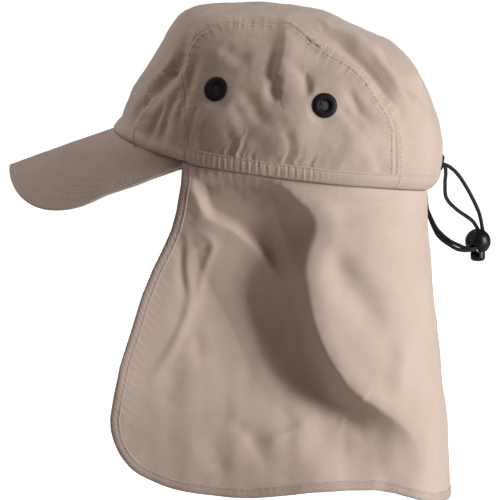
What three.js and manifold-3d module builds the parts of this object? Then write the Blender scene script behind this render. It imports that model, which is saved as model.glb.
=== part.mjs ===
// Legionnaire cap: a five-panel cap with a stiff peak, a gathered casing round the back of the rim,
// a neck flap that hangs below it, four vents, and an elastic draw cord with a ball lock.
// Millimetres, +Z up, peak towards -Y, the wearer's left towards +X.
// The origin is the middle of the rim, where the cap sits on a head.
import * as THREE from 'three';
import { mergeVertices } from 'three/addons/utils/BufferGeometryUtils.js';
import Module from 'manifold-3d';

const wasm = await Module();
wasm.setup();

// Driving dimensions: the crown
const crownHalfLength = 99;
const crownHalfWidth = 84;
const crownHeight = 92;
const crownCloth = 1.6;
const rimPitch = 7.7;
const frontArch = 6;
const backDip = 3.5;

// Driving dimensions: the peak
const peakReach = 61;
const peakHalfWidth = 69.5;
const peakFall = 20.2;
const peakBow = 92;
const peakThickness = 2.6;
const peakSquareness = 3.1;

// Driving dimensions: the casing round the rim and the neck flap
const casingHeight = 9;
const casingThickness = 3;
const casingProud = 1;
const flapCloth = 1.4;
const flapLength = 189;
const flapTuck = 2.6;
const flapHalfWidth = 86;
const flapCornerHalfWidth = 79;
const flapCornerReach = 98;
const flapBackReach = 105;
const flapCornerRadius = 45;
const flapBackDrop = 14;

// Driving dimensions: vents, cord eyelet, cord and lock
const ventDiameter = 15;
const ventHole = 6.4;
const ventBarrel = 8.6;
const cordEyeletDiameter = 10;
const cordEyeletHole = 6.4;
const cordEyeletBarrel = 7.4;
const eyeletFlange = 0.9;
const meshThickness = 0.8;
const cordDiameter = 2.3;
const cordSpacing = 2.7;
const ballDiameter = 15.4;
const plungerDiameter = 8.8;
const plungerStandOut = 4;
const plungerTravel = 2.5;
const lockHoleDrop = 3.5;
const lockHoleWidth = 6;
const lockHoleHeight = 3.6;

// Clearances
const gap = 0.3;
const runningGap = 0.35;
const flangeSlack = 0.6;

// How finely the shapes are divided
const crownColumns = 56;
const flapColumns = 48;
const flapRows = 14;
const casingColumns = 52;
const peakColumns = 24;
const peakRows = 4;
const eyeletSides = 12;
const cordSides = 8;
const cordSteps = 80;

// Where the seams and vents lie, as shares of the crown's half length (along, + towards the back)
// and of its height above the origin (up)
const casingEnd = -0.535;
const sideSeam = [
  { along: -0.52, up: -0.40 }, { along: -0.52, up: 0.24 }, { along: -0.545, up: 0.48 },
  { along: -0.56, up: 0.66 }, { along: -0.54, up: 0.76 }, { along: -0.49, up: 0.855 },
  { along: -0.42, up: 0.91 }, { along: -0.31, up: 0.945 }, { along: -0.17, up: 0.95 },
  { along: 0.05, up: 0.94 }, { along: 0.13, up: 0.90 }, { along: 0.23, up: 0.83 },
  { along: 0.40, up: 0.735 }, { along: 0.52, up: 0.63 }, { along: 0.62, up: 0.48 },
  { along: 0.69, up: 0.34 }, { along: 0.71, up: 0.14 }, { along: 0.70, up: -0.40 },
];
const gussetSeam = [
  { along: -0.865, up: -0.40 }, { along: -0.85, up: 0.19 }, { along: -0.80, up: 0.39 },
  { along: -0.745, up: 0.55 }, { along: -0.66, up: 0.635 }, { along: -0.55, up: 0.665 },
  { along: -0.45, up: 0.60 }, { along: -0.45, up: -0.40 },
];
const vents = [
  { place: 'front', along: -0.36, up: 0.555 },
  { place: 'rear', along: 0.285, up: 0.458 },
];
const cordEyeletUp = -0.017;

// One row per level of the crown, from the rim to the middle of the top: its height as a share of
// the crown's height, its front, back and side as shares of the half length and half width, and
// how square its outline is
const crownLevels = [
  { rise: 0.00, front: -0.994, back: 0.930, side: 0.985, square: 2.2 },
  { rise: 0.08, front: -0.940, back: 0.985, side: 0.998, square: 2.2 },
  { rise: 0.20, front: -0.908, back: 1.008, side: 0.996, square: 2.25 },
  { rise: 0.35, front: -0.865, back: 0.985, side: 0.973, square: 2.3 },
  { rise: 0.50, front: -0.797, back: 0.930, side: 0.940, square: 2.4 },
  { rise: 0.65, front: -0.727, back: 0.830, side: 0.890, square: 2.5 },
  { rise: 0.78, front: -0.667, back: 0.660, side: 0.820, square: 2.6 },
  { rise: 0.88, front: -0.615, back: 0.465, side: 0.700, square: 2.7 },
  { rise: 0.945, front: -0.570, back: 0.320, side: 0.565, square: 2.8 },
  { rise: 0.985, front: -0.500, back: 0.160, side: 0.440, square: 2.8 },
  { rise: 1.00, front: -0.390, back: 0.020, side: 0.290, square: 2.6 },
  { rise: 0.99, front: -0.180, back: -0.180, side: 0.000, square: 2.2 },
];

// Creases in the crown, on both sides of it: their ends as shares of the half length and height,
// and their depth and half width in shares of the crown's height (a ridge has a negative depth)
const crownCreases = [
  { along: 0.27, up: 0.91, toAlong: 0.50, toUp: 0.745, depth: 0.030, width: 0.055 },
  { along: 0.50, up: 0.745, toAlong: 0.77, toUp: 0.42, depth: 0.034, width: 0.055 },
  { along: 0.60, up: 0.74, toAlong: 0.87, toUp: 0.45, depth: 0.020, width: 0.050 },
  { along: -0.56, up: 0.58, toAlong: -0.48, toUp: 0.50, depth: 0.034, width: 0.070 },
  { along: -0.70, up: 0.74, toAlong: -0.76, toUp: 0.50, depth: 0.022, width: 0.060 },
  { along: -0.72, up: 0.48, toAlong: -0.78, toUp: 0.26, depth: 0.016, width: 0.050 },
  { along: 0.07, up: 0.90, toAlong: 0.04, toUp: 0.62, depth: -0.020, width: 0.070 },
  { along: -0.12, up: 0.62, toAlong: -0.16, toUp: 0.36, depth: 0.022, width: 0.070 },
  { along: 0.10, up: 0.50, toAlong: 0.02, toUp: 0.22, depth: 0.018, width: 0.070 },
  { along: 0.52, up: 0.42, toAlong: 0.46, toUp: 0.24, depth: 0.020, width: 0.070 },
];

// The flap's deep fold: at each height below the rim, as a share of the flap's length, where its
// sharp edge lies (as a share of the crown's half length) and how deep it falls in front of that
// edge (as a share of the flap's half width)
const mainFold = [
  { drop: 0.08, along: 0.16, depth: 0.03 },
  { drop: 0.18, along: 0.25, depth: 0.09 },
  { drop: 0.26, along: 0.27, depth: 0.13 },
  { drop: 0.42, along: 0.21, depth: 0.19 },
  { drop: 0.60, along: 0.29, depth: 0.22 },
  { drop: 0.74, along: 0.47, depth: 0.21 },
  { drop: 0.86, along: 0.74, depth: 0.14 },
  { drop: 0.97, along: 0.87, depth: 0.09 },
];
const mainFoldEdge = 0.14;
const mainFoldReach = 0.75;

// The flap's smaller folds, in the same shares
const smallFolds = [
  { along: -0.55, drop: 0.50, toAlong: -0.68, toDrop: 0.78, depth: 0.035, width: 0.10 },
  { along: -0.56, drop: 0.28, toAlong: -0.48, toDrop: 0.48, depth: 0.030, width: 0.06 },
  { along: 0.36, drop: 0.30, toAlong: 0.76, toDrop: 0.66, depth: 0.035, width: 0.14 },
  { along: -0.16, drop: 0.84, toAlong: -0.06, toDrop: 1.00, depth: 0.045, width: 0.08 },
  { along: -0.42, drop: 0.86, toAlong: -0.40, toDrop: 1.00, depth: 0.030, width: 0.08 },
  { along: 0.62, drop: 0.86, toAlong: 0.56, toDrop: 1.00, depth: 0.035, width: 0.10 },
];
const rightSideFoldShare = 0.62;

// The draw cord's centre line, chosen by hand: out of the eyelet at the back, down behind the
// ball, through it, round the loop, back through it and up into the eyelet
const cordRoute = [
  [-1.4, 97.0, -1.9], [-1.5, 99.8, -2.5], [-2.0, 104.4, -4.6], [-2.5, 109.8, -10.0],
  [-3.2, 116.0, -20.0], [-4.0, 121.2, -30.7], [-5.0, 123.0, -36.9], [-6.4, 124.1, -42.6],
  [-8.9, 125.7, -47.0], [-8.9, 126.9, -50.9], [-5.5, 125.6, -52.7], [0.64, 122.3, -52.7],
  [6.8, 119.0, -52.7], [10.0, 115.4, -53.2], [9.6, 109.6, -52.9], [6.2, 104.2, -50.6],
  [0.9, 98.8, -47.2], [-5.0, 95.4, -43.0], [-15.8, 91.6, -34.0], [-20.8, 90.6, -27.6],
  [-24.8, 89.9, -20.2], [-28.0, 89.0, -26.4], [-19.6, 91.0, -32.0], [-7.0, 95.4, -40.6],
  [-1.0, 99.2, -44.7], [4.5, 104.2, -48.2], [7.6, 109.6, -50.5], [8.4, 113.4, -52.0],
  [5.5, 116.6, -52.7], [-0.64, 119.9, -52.7], [-6.8, 123.2, -52.7], [-9.9, 124.3, -50.9],
  [-10.2, 123.2, -47.2], [-7.2, 120.7, -41.8], [-4.0, 117.3, -36.8], [-1.0, 108.0, -29.7],
  [0.8, 102.0, -22.6], [1.4, 101.2, -13.5], [1.5, 101.6, -7.6], [1.45, 100.9, -3.6],
  [1.4, 97.0, -2.3],
];
const ballCentre = new THREE.Vector3(0, 121.1, -49.2);
const lockHoleHeading = 28.4;

// Materials
const cloth = new THREE.MeshStandardMaterial({ color: 0xb8a398, roughness: 0.92, metalness: 0 });
const peakCloth = new THREE.MeshStandardMaterial({ color: 0xa8968a, roughness: 0.92, metalness: 0 });
const blackPaint = new THREE.MeshStandardMaterial({ color: 0x1a161c, roughness: 0.4, metalness: 0.4 });
const blackPlastic = new THREE.MeshStandardMaterial({ color: 0x111018, roughness: 0.25, metalness: 0 });
const blackElastic = new THREE.MeshStandardMaterial({ color: 0x131218, roughness: 0.8, metalness: 0 });

const radians = THREE.MathUtils.degToRad;
const clamp01 = (value) => THREE.MathUtils.clamp(value, 0, 1);
const smooth = (value) => THREE.MathUtils.smoothstep(value, 0, 1);

// A signed power, which gives superellipse outlines their two halves
function signedPower(value, power) {
  return Math.sign(value) * Math.abs(value) ** power;
}

// One column of a table read at a whole or broken row number, on a smooth curve through the rows
function readRows(table, column, rowNumber) {
  const last = table.length - 1;
  const row = Math.min(Math.floor(rowNumber), last - 1);
  const share = rowNumber - row;
  const value = (i) => table[THREE.MathUtils.clamp(i, 0, last)][column];
  const before = (value(row + 1) - value(row - 1)) / 2;
  const after = (value(row + 2) - value(row)) / 2;
  const square = share * share;
  const cube = square * share;
  return (2 * cube - 3 * square + 1) * value(row) + (cube - 2 * square + share) * before
    + (3 * square - 2 * cube) * value(row + 1) + (cube - square) * after;
}

// The broken row number at which a rising column reaches a value
function findRow(table, column, wanted) {
  let low = 0;
  let high = table.length - 1;
  for (let step = 0; step < 40; step += 1) {
    const middle = (low + high) / 2;
    if (readRows(table, column, middle) < wanted) low = middle;
    else high = middle;
  }
  return (low + high) / 2;
}

// Height of the rim's lower edge: a plane pitched towards the back, arched over the peak and
// dipping at the middle of the back
function rimHeight(y) {
  const along = y / crownHalfLength;
  const arch = frontArch * clamp01((-along - 0.45) / 0.54) ** 1.2;
  const dip = backDip * clamp01((along - 0.4) / 0.53) ** 4;
  return -Math.tan(radians(rimPitch)) * y + arch - dip;
}

// The outline of the crown at one level
function crownOutline(level) {
  const front = readRows(crownLevels, 'front', level) * crownHalfLength;
  const back = readRows(crownLevels, 'back', level) * crownHalfLength;
  return {
    middle: (front + back) / 2,
    halfLength: (back - front) / 2,
    halfWidth: readRows(crownLevels, 'side', level) * crownHalfWidth,
    power: 2 / readRows(crownLevels, 'square', level),
    rise: readRows(crownLevels, 'rise', level),
  };
}

// A point of the crown's smooth outer surface; angle 0 is the back, a quarter turn the left side
function crownPoint(angle, level) {
  const outline = crownOutline(level);
  const y = outline.middle + outline.halfLength * signedPower(Math.cos(angle), outline.power);
  const x = outline.halfWidth * signedPower(Math.sin(angle), outline.power);
  const z = outline.rise * crownHeight + rimHeight(y) * (1 - outline.rise);
  return new THREE.Vector3(x, y, z);
}

// The angle round the crown at which one level passes a given y, on the left side
function angleAt(y, level) {
  const outline = crownOutline(level);
  const share = THREE.MathUtils.clamp((y - outline.middle) / outline.halfLength, -1, 1);
  return Math.acos(signedPower(share, 1 / outline.power));
}

// The level of the crown's surface at a given y and height
function levelAt(y, z) {
  const rim = rimHeight(y);
  return findRow(crownLevels.slice(0, -1), 'rise', (z - rim) / (crownHeight - rim));
}

// How near a point of the side view lies to a line of it
function distanceToLine(y, z, fromY, fromZ, toY, toZ) {
  const along = new THREE.Vector2(toY - fromY, toZ - fromZ);
  const point = new THREE.Vector2(y - fromY, z - fromZ);
  const share = clamp01(point.dot(along) / along.lengthSq());
  return point.sub(along.multiplyScalar(share)).length();
}

// Depth of the crown's creases at a point of the side view; the cloth lies flat round each vent
function creaseDepth(y, z) {
  const calm = vents.reduce((least, { along, up }) => {
    const distance = Math.hypot(y - along * crownHalfLength, z - up * crownHeight);
    return Math.min(least, smooth(distance / ventDiameter - 0.7));
  }, 1);
  return calm * crownCreases.reduce((depth, crease) => {
    const distance = distanceToLine(
      y, z,
      crease.along * crownHalfLength, crease.up * crownHeight,
      crease.toAlong * crownHalfLength, crease.toUp * crownHeight,
    );
    const share = distance / (crease.width * crownHeight);
    return depth + crease.depth * crownHeight * Math.exp(-share * share);
  }, 0);
}

// Triangles of a grid of points, with its point numbers; a closed grid joins its last column to
// its first, and a poled one ends in a single point
function gridSurface(rows, { closed = false, pole = false } = {}) {
  const points = [];
  const numbers = rows.map((row, i) => {
    const isPole = pole && i === rows.length - 1;
    return row.map((point, j) => {
      if (!isPole || j === 0) points.push(point);
      return points.length - 1;
    });
  });
  const triangles = [];
  const columns = rows[0].length;
  const spans = closed ? columns : columns - 1;
  for (let i = 0; i < rows.length - 1; i += 1) {
    for (let j = 0; j < spans; j += 1) {
      const next = (j + 1) % columns;
      const a = numbers[i][j];
      const b = numbers[i][next];
      const c = numbers[i + 1][next];
      const d = numbers[i + 1][j];
      triangles.push([a, b, c]);
      if (c !== d) triangles.push([a, c, d]);
    }
  }
  return { points, triangles };
}

// Outward normals of a surface's points
function surfaceNormals({ points, triangles }) {
  const normals = points.map(() => new THREE.Vector3());
  const first = new THREE.Vector3();
  const second = new THREE.Vector3();
  for (const [a, b, c] of triangles) {
    first.subVectors(points[b], points[a]);
    second.subVectors(points[c], points[a]);
    first.cross(second);
    for (const corner of [a, b, c]) normals[corner].add(first);
  }
  return normals.map((normal) => normal.normalize());
}

// A geometry from points and triangles
function geometryOf(points, triangles) {
  const geometry = new THREE.BufferGeometry();
  geometry.setAttribute('position', new THREE.Float32BufferAttribute(points.flatMap((p) => [p.x, p.y, p.z]), 3));
  geometry.setIndex(triangles.flat());
  return geometry;
}

// A wall of cloth: the surface, a copy of it one thickness inside, and the edges between them
function clothWall(surface, thicknessAt) {
  const normals = surfaceNormals(surface);
  const count = surface.points.length;
  const inner = surface.points.map((point, i) => point.clone().addScaledVector(normals[i], -thicknessAt(point)));
  const edges = new Set(surface.triangles.flatMap(([a, b, c]) => [`${a},${b}`, `${b},${c}`, `${c},${a}`]));
  const triangles = [...surface.triangles];
  for (const [a, b, c] of surface.triangles) triangles.push([c + count, b + count, a + count]);
  for (const edge of edges) {
    const [a, b] = edge.split(',').map(Number);
    if (edges.has(`${b},${a}`)) continue;
    triangles.push([b, a, a + count], [b, a + count, b + count]);
  }
  return geometryOf([...surface.points, ...inner], triangles);
}

// A closed geometry as a solid that can be cut and joined
function solidOf(source) {
  const plain = source.clone();
  plain.deleteAttribute('normal');
  plain.deleteAttribute('uv');
  const merged = mergeVertices(plain, 1e-4);
  const mesh = new wasm.Mesh({
    numProp: 3,
    vertProperties: new Float32Array(merged.attributes.position.array),
    triVerts: new Uint32Array(merged.index.array),
  });
  return new wasm.Manifold(mesh);
}

// A solid back as a geometry
function geometryOfSolid(solid) {
  const mesh = solid.getMesh();
  const geometry = new THREE.BufferGeometry();
  geometry.setAttribute('position', new THREE.Float32BufferAttribute(mesh.vertProperties, 3));
  geometry.setIndex(Array.from(mesh.triVerts));
  return geometry;
}

const group = new THREE.Group();

// One named piece of the cap
function addPiece(name, geometry, material) {
  const faceted = geometry.index ? geometry.toNonIndexed() : geometry;
  faceted.computeVertexNormals();
  const mesh = new THREE.Mesh(faceted, material);
  mesh.name = name;
  group.add(mesh);
  return mesh;
}

// An outline moved outwards by a distance; its points run round the shape
function grownOutline(outline, distance) {
  const area = THREE.ShapeUtils.area(outline);
  const turn = Math.sign(area);
  return outline.map((point, i) => {
    const before = outline[(i + outline.length - 1) % outline.length];
    const after = outline[(i + 1) % outline.length];
    const into = new THREE.Vector2().subVectors(point, before).normalize();
    const out = new THREE.Vector2().subVectors(after, point).normalize();
    const normal = new THREE.Vector2(into.y + out.y, -into.x - out.x).normalize();
    const stretch = Math.max(normal.x * into.y - normal.y * into.x, 0.4);
    return point.clone().addScaledVector(normal, (turn * distance) / stretch);
  });
}

// A seam's table as an outline of the side view
function seamOutline(seam) {
  return seam.map(({ along, up }) => new THREE.Vector2(along * crownHalfLength, up * crownHeight));
}

// Everything on one side of the cap (1 left, -1 right) that lies inside an outline of the side view
function sideBlock(outline, side) {
  const nearMiddle = crownHalfWidth * 0.16;
  const depth = crownHalfWidth * 1.4;
  const block = new THREE.ExtrudeGeometry(new THREE.Shape(outline), { depth, bevelEnabled: false });
  const turn = new THREE.Matrix4().makeBasis(
    new THREE.Vector3(0, 1, 0),
    new THREE.Vector3(0, 0, 1),
    new THREE.Vector3(1, 0, 0),
  );
  block.applyMatrix4(turn);
  block.translate(side > 0 ? nearMiddle : -nearMiddle - depth, 0, 0);
  return solidOf(block);
}

// The whole crown as one wall of cloth, before it is cut into panels
function crownShell() {
  const surface = crownSurface(crownLevels.length);
  const normals = surfaceNormals(surface);
  surface.points.forEach((point, i) => {
    const nearTop = Math.abs(normals[i].z) ** 4;
    const depth = creaseDepth(point.y, point.z) * (1 - nearTop);
    point.addScaledVector(normals[i], -depth);
  });
  return clothWall(surface, () => crownCloth);
}

// The crown's smooth outer surface up to a number of levels, closed over its last one
function crownSurface(levelCount) {
  const rows = [];
  for (let i = 0; i < levelCount; i += 1) {
    const row = [];
    for (let j = 0; j < crownColumns; j += 1) {
      const angle = -(j / crownColumns) * 2 * Math.PI;
      row.push(crownPoint(angle, i));
    }
    rows.push(row);
  }
  return gridSurface(rows, { closed: true, pole: true });
}

// The filled inside of the crown near its rim, grown by a distance and carried on below the rim:
// what meets the crown from outside is cut back with it
function rimCore(grow, below) {
  const levelCount = 4;
  const rows = [];
  for (let i = 0; i < levelCount; i += 1) {
    const row = [];
    for (let j = 0; j < crownColumns; j += 1) {
      const angle = -(j / crownColumns) * 2 * Math.PI;
      const point = crownPoint(angle, i);
      const away = new THREE.Vector3(point.x / crownHalfWidth ** 2, point.y / crownHalfLength ** 2, 0);
      row.push(point.addScaledVector(away.normalize(), grow));
    }
    rows.push(row);
  }
  rows.unshift(rows[0].map((point) => point.clone().setZ(point.z - below)));
  const surface = gridSurface(rows, { closed: true });
  const points = surface.points;
  const triangles = surface.triangles;
  const lastRow = (rows.length - 1) * crownColumns;
  const bottomMiddle = points.push(new THREE.Vector3(0, 0, -below)) - 1;
  const topMiddle = points.push(new THREE.Vector3(0, 0, points[lastRow].z)) - 1;
  for (let j = 0; j < crownColumns; j += 1) {
    const next = (j + 1) % crownColumns;
    triangles.push([next, j, bottomMiddle], [lastRow + j, lastRow + next, topMiddle]);
  }
  return solidOf(geometryOf(points, triangles));
}

// Angles round the rim at which the casing and the flap end, left of the middle
const casingEndAngle = angleAt(casingEnd * crownHalfLength, 0);
const casingAngles = Array.from(
  { length: casingColumns + 1 },
  (unused, i) => THREE.MathUtils.lerp(-casingEndAngle, casingEndAngle, i / casingColumns),
);

// The frame of the rim at an angle: a point of the crown's surface at a height above the rim's
// lower edge, and the level direction that points away from the cap there
function rimFrame(angle, above) {
  const rimPoint = crownPoint(angle, 0);
  const before = crownPoint(angle - 0.02, 0);
  const after = crownPoint(angle + 0.02, 0);
  const away = new THREE.Vector3(after.y - before.y, before.x - after.x, 0).normalize();
  if (away.x * rimPoint.x + away.y * rimPoint.y < 0) away.negate();
  const rise = Math.max(above, 0) / (crownHeight - rimPoint.z);
  const outline = crownOutline(findRow(crownLevels.slice(0, -1), 'rise', rise));
  const isInside = (out) => {
    const x = Math.abs(rimPoint.x + away.x * out) / outline.halfWidth;
    const y = Math.abs(rimPoint.y + away.y * out - outline.middle) / outline.halfLength;
    return x ** (2 / outline.power) + y ** (2 / outline.power) < 1;
  };
  let inside = -crownHalfWidth / 4;
  let outside = crownHalfWidth / 4;
  for (let step = 0; step < 24; step += 1) {
    const middle = (inside + outside) / 2;
    if (isInside(middle)) inside = middle;
    else outside = middle;
  }
  const point = rimPoint.clone().addScaledVector(away, inside);
  point.z += above;
  return { point, away };
}

// A band swept round the back of the rim through a list of angles; each corner of its section
// has a height above the rim and a distance out from the crown's surface
function rimBand(section, angles) {
  const points = [];
  const triangles = [];
  const corners = section.length;
  const columns = angles.length - 1;
  for (const angle of angles) {
    for (const { above, out } of section) {
      const frame = rimFrame(angle, above);
      points.push(frame.point.addScaledVector(frame.away, out));
    }
  }
  for (let j = 0; j < columns; j += 1) {
    for (let k = 0; k < corners; k += 1) {
      const next = (k + 1) % corners;
      const a = j * corners + k;
      const b = j * corners + next;
      triangles.push([a, b, b + corners], [a, b + corners, a + corners]);
    }
  }
  const lastRing = columns * corners;
  for (let k = 1; k < corners - 1; k += 1) {
    triangles.push([0, k + 1, k], [lastRing, lastRing + k, lastRing + k + 1]);
  }
  return geometryOf(points, triangles);
}

// The gathered casing: a flat tunnel with a full, rounded outer face
const casingSection = [
  { above: 0, out: casingProud - casingThickness },
  { above: 0, out: casingProud * 0.3 },
  { above: casingHeight * 0.12, out: casingProud * 0.9 },
  { above: casingHeight * 0.5, out: casingProud * 1.3 },
  { above: casingHeight * 0.86, out: casingProud * 0.9 },
  { above: casingHeight, out: casingProud * 0.2 },
  { above: casingHeight, out: casingProud - casingThickness },
  { above: casingHeight * 0.5, out: casingProud - casingThickness },
];
// The space cut from the crown for the casing, which also takes away the cloth below it
const casingClearance = [
  { above: -2 * casingHeight, out: -3 * casingThickness },
  { above: -2 * casingHeight, out: 3 * casingThickness },
  { above: casingHeight + gap, out: 3 * casingThickness },
  { above: casingHeight + gap, out: -3 * casingThickness },
];

// A ring with a flange on each side of the cloth, standing on the cloth's outer face at z = 0
function eyeletGeometry(diameter, hole, barrel) {
  const outside = diameter / 2;
  const inside = hole / 2;
  const neck = barrel / 2;
  const seat = gap + curveSag(outside);
  const back = -crownCloth - gap - flangeSlack;
  const backRim = (outside + neck) / 2;
  const profile = [
    [inside, back - eyeletFlange * 0.6], [backRim, back - eyeletFlange * 0.6], [backRim, back],
    [neck, back], [neck, seat], [outside, seat], [outside * 0.9, seat + eyeletFlange],
    [inside, seat + eyeletFlange * 0.5], [inside, back - eyeletFlange * 0.6],
  ];
  const points = profile.map(([r, z]) => new THREE.Vector2(r, z));
  const ring = new THREE.LatheGeometry(points, eyeletSides);
  ring.rotateX(Math.PI / 2);
  return ring;
}

// How far the curved crown falls away under a flat disc of this radius
function curveSag(radius) {
  const tightestCurve = crownHalfWidth * 0.65;
  return (radius * radius) / (2 * tightestCurve);
}

// Where a piece stands on the crown: a point of its surface and the direction square to it
function crownSeat(y, z, side) {
  const pointAt = (py, pz) => {
    const level = levelAt(py, pz);
    const point = crownPoint(angleAt(py, level), level);
    point.x *= side;
    return point;
  };
  const step = 1.5;
  const alongY = pointAt(y + step, z).sub(pointAt(y - step, z));
  const alongZ = pointAt(y, z + step).sub(pointAt(y, z - step));
  const normal = alongY.cross(alongZ).normalize();
  if (normal.x * side < 0) normal.negate();
  const point = pointAt(y, z).addScaledVector(normal, -creaseDepth(y, z));
  return { point, normal };
}

// A geometry made round +Z moved to a seat, facing along its normal
function placeOn(seat, geometry) {
  const turn = new THREE.Quaternion().setFromUnitVectors(new THREE.Vector3(0, 0, 1), seat.normal);
  geometry.applyQuaternion(turn);
  geometry.translate(seat.point.x, seat.point.y, seat.point.z);
  return geometry;
}

// A round drill through the cloth
function drill(radius, length) {
  const rod = new THREE.CylinderGeometry(radius, radius, length, eyeletSides);
  rod.rotateX(Math.PI / 2);
  return rod;
}

// The places of the four vents and of the cord eyelet
const ventSeats = [1, -1].flatMap((side) => vents.map((vent) => ({
  name: `${side > 0 ? 'left' : 'right'}_${vent.place}`,
  seat: crownSeat(vent.along * crownHalfLength, vent.up * crownHeight, side),
})));

function backSeat() {
  const z = cordEyeletUp * crownHeight;
  const rearY = (height) => {
    let y = crownHalfLength * 0.95;
    for (let step = 0; step < 12; step += 1) {
      const outline = crownOutline(levelAt(y, height));
      y = outline.middle + outline.halfLength;
    }
    return y;
  };
  const slope = (rearY(z + 2) - rearY(z - 2)) / 4;
  return {
    point: new THREE.Vector3(0, rearY(z), z),
    normal: new THREE.Vector3(0, 1, -slope).normalize(),
  };
}
const cordEyeletSeat = backSeat();

// Crown panels, cut from one shell along their seams, with the casing's space and the holes out
function addCrown() {
  let shell = solidOf(crownShell());
  const clearEnd = casingEndAngle + gap / crownHalfWidth;
  const band = rimBand(casingClearance, [-clearEnd, ...casingAngles, clearEnd]);
  shell = shell.subtract(solidOf(band));
  const drillLength = 4 * (crownCloth + eyeletFlange);
  for (const { seat } of ventSeats) {
    shell = shell.subtract(solidOf(placeOn(seat, drill(ventBarrel / 2 + gap, drillLength))));
  }
  shell = shell.subtract(solidOf(placeOn(cordEyeletSeat, drill(cordEyeletBarrel / 2 + gap, drillLength))));
  for (const [side, word] of [[1, 'left'], [-1, 'right']]) {
    const panel = seamOutline(sideSeam);
    addPiece(`crown_side_${word}`, geometryOfSolid(shell.intersect(sideBlock(panel, side))), cloth);
    shell = shell.subtract(sideBlock(grownOutline(panel, gap), side));
    const gusset = seamOutline(gussetSeam);
    addPiece(`crown_gusset_${word}`, geometryOfSolid(shell.intersect(sideBlock(gusset, side))), cloth);
    shell = shell.subtract(sideBlock(grownOutline(gusset, gap), side));
  }
  addPiece('crown_centre_panel', geometryOfSolid(shell), cloth);
}

// The casing, open at the peak, in one piece round the back
function addCasing() {
  const band = rimBand(casingSection, casingAngles);
  addPiece('rim_casing', band, cloth);
}

// Points spread evenly along a line of points
function spreadEvenly(points, count) {
  const curve = new THREE.CurvePath();
  for (let i = 0; i < points.length - 1; i += 1) curve.add(new THREE.LineCurve3(points[i], points[i + 1]));
  return Array.from({ length: count + 1 }, (unused, i) => curve.getPointAt(i / count));
}

// Height of the peak's upper face: a straight fall from the front of the rim, bowed across
function peakHeight(x, y) {
  const front = crownLevels[0].front * crownHalfLength;
  const ridge = rimHeight(front) + Math.tan(radians(peakFall)) * (y - front);
  const across = Math.min(Math.abs(x), peakBow * 0.97);
  return ridge - (peakBow - Math.sqrt(peakBow * peakBow - across * across));
}

// The peak: from a line just outside the front of the rim to its rounded outer edge
function addPeak() {
  const rearLift = 1;
  const fromAngle = casingEndAngle + (6 * gap) / crownHalfWidth;
  const rear = [];
  const outer = [];
  const steps = 40;
  const front = crownLevels[0].front * crownHalfLength;
  for (let i = 0; i <= steps; i += 1) {
    const share = i / steps;
    const angle = THREE.MathUtils.lerp(fromAngle, 2 * Math.PI - fromAngle, share);
    const frame = rimFrame(angle, 0);
    frame.point.addScaledVector(frame.away, -crownCloth);
    frame.point.z += rearLift;
    rear.push(frame.point);
  }
  const corner = rear[0].clone();
  const widestY = front;
  for (let i = 0; i < 6; i += 1) {
    const share = i / 6;
    const x = THREE.MathUtils.lerp(corner.x + 1.2, peakHalfWidth, share);
    const y = THREE.MathUtils.lerp(corner.y, widestY, share);
    outer.push(new THREE.Vector3(x, y, 0));
  }
  const arcSteps = 36;
  for (let i = 0; i <= arcSteps; i += 1) {
    const turn = (i / arcSteps) * Math.PI;
    const x = peakHalfWidth * signedPower(Math.cos(turn), 2 / peakSquareness);
    const y = widestY - peakReach * signedPower(Math.sin(turn), 2 / peakSquareness);
    outer.push(new THREE.Vector3(x, y, 0));
  }
  for (let i = 5; i >= 0; i -= 1) {
    outer.push(new THREE.Vector3(-outer[i].x, outer[i].y, 0));
  }
  for (const point of outer) point.z = peakHeight(point.x, point.y);
  outer[0].z = corner.z - 0.4;
  outer[outer.length - 1].z = corner.z - 0.4;
  const rearLine = spreadEvenly(rear, peakColumns);
  const outerLine = spreadEvenly(outer, peakColumns);
  const rows = [];
  for (let i = 0; i <= peakRows; i += 1) {
    const share = i / peakRows;
    rows.push(rearLine.map((start, j) => {
      const point = start.clone().lerp(outerLine[j], share);
      const onPeak = peakHeight(point.x, point.y);
      const lift = (start.z - peakHeight(start.x, start.y)) * (1 - share) ** 2;
      const edge = (outerLine[j].z - peakHeight(outerLine[j].x, outerLine[j].y)) * share ** 2;
      point.z = onPeak + lift + edge;
      return point;
    }));
  }
  const whole = solidOf(clothWall(gridSurface(rows), () => peakThickness));
  const cut = whole.subtract(rimCore(gap + 0.05, 4 * peakThickness));
  addPiece('peak', geometryOfSolid(cut), peakCloth);
}

// Depth of the flap's folds at a point of the side view, below a rim height
function flapFoldDepth(y, drop) {
  const share = drop / flapLength;
  const row = findRow(mainFold, 'drop', share);
  const edge = readRows(mainFold, 'along', row) * crownHalfLength;
  const depth = readRows(mainFold, 'depth', row) * flapHalfWidth;
  const fade = clamp01(share / mainFold[0].drop);
  const ahead = (edge - y) / crownHalfLength;
  const wall = smooth(ahead / mainFoldEdge);
  const recovery = 1 - smooth((ahead - mainFoldEdge) / (mainFoldReach - mainFoldEdge));
  let total = depth * wall * recovery * fade;
  for (const fold of smallFolds) {
    const distance = distanceToLine(
      y, drop,
      fold.along * crownHalfLength, fold.drop * flapLength,
      fold.toAlong * crownHalfLength, fold.toDrop * flapLength,
    );
    const near = distance / (fold.width * crownHalfLength);
    total += fold.depth * flapHalfWidth * Math.exp(-near * near);
  }
  return total;
}

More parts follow.
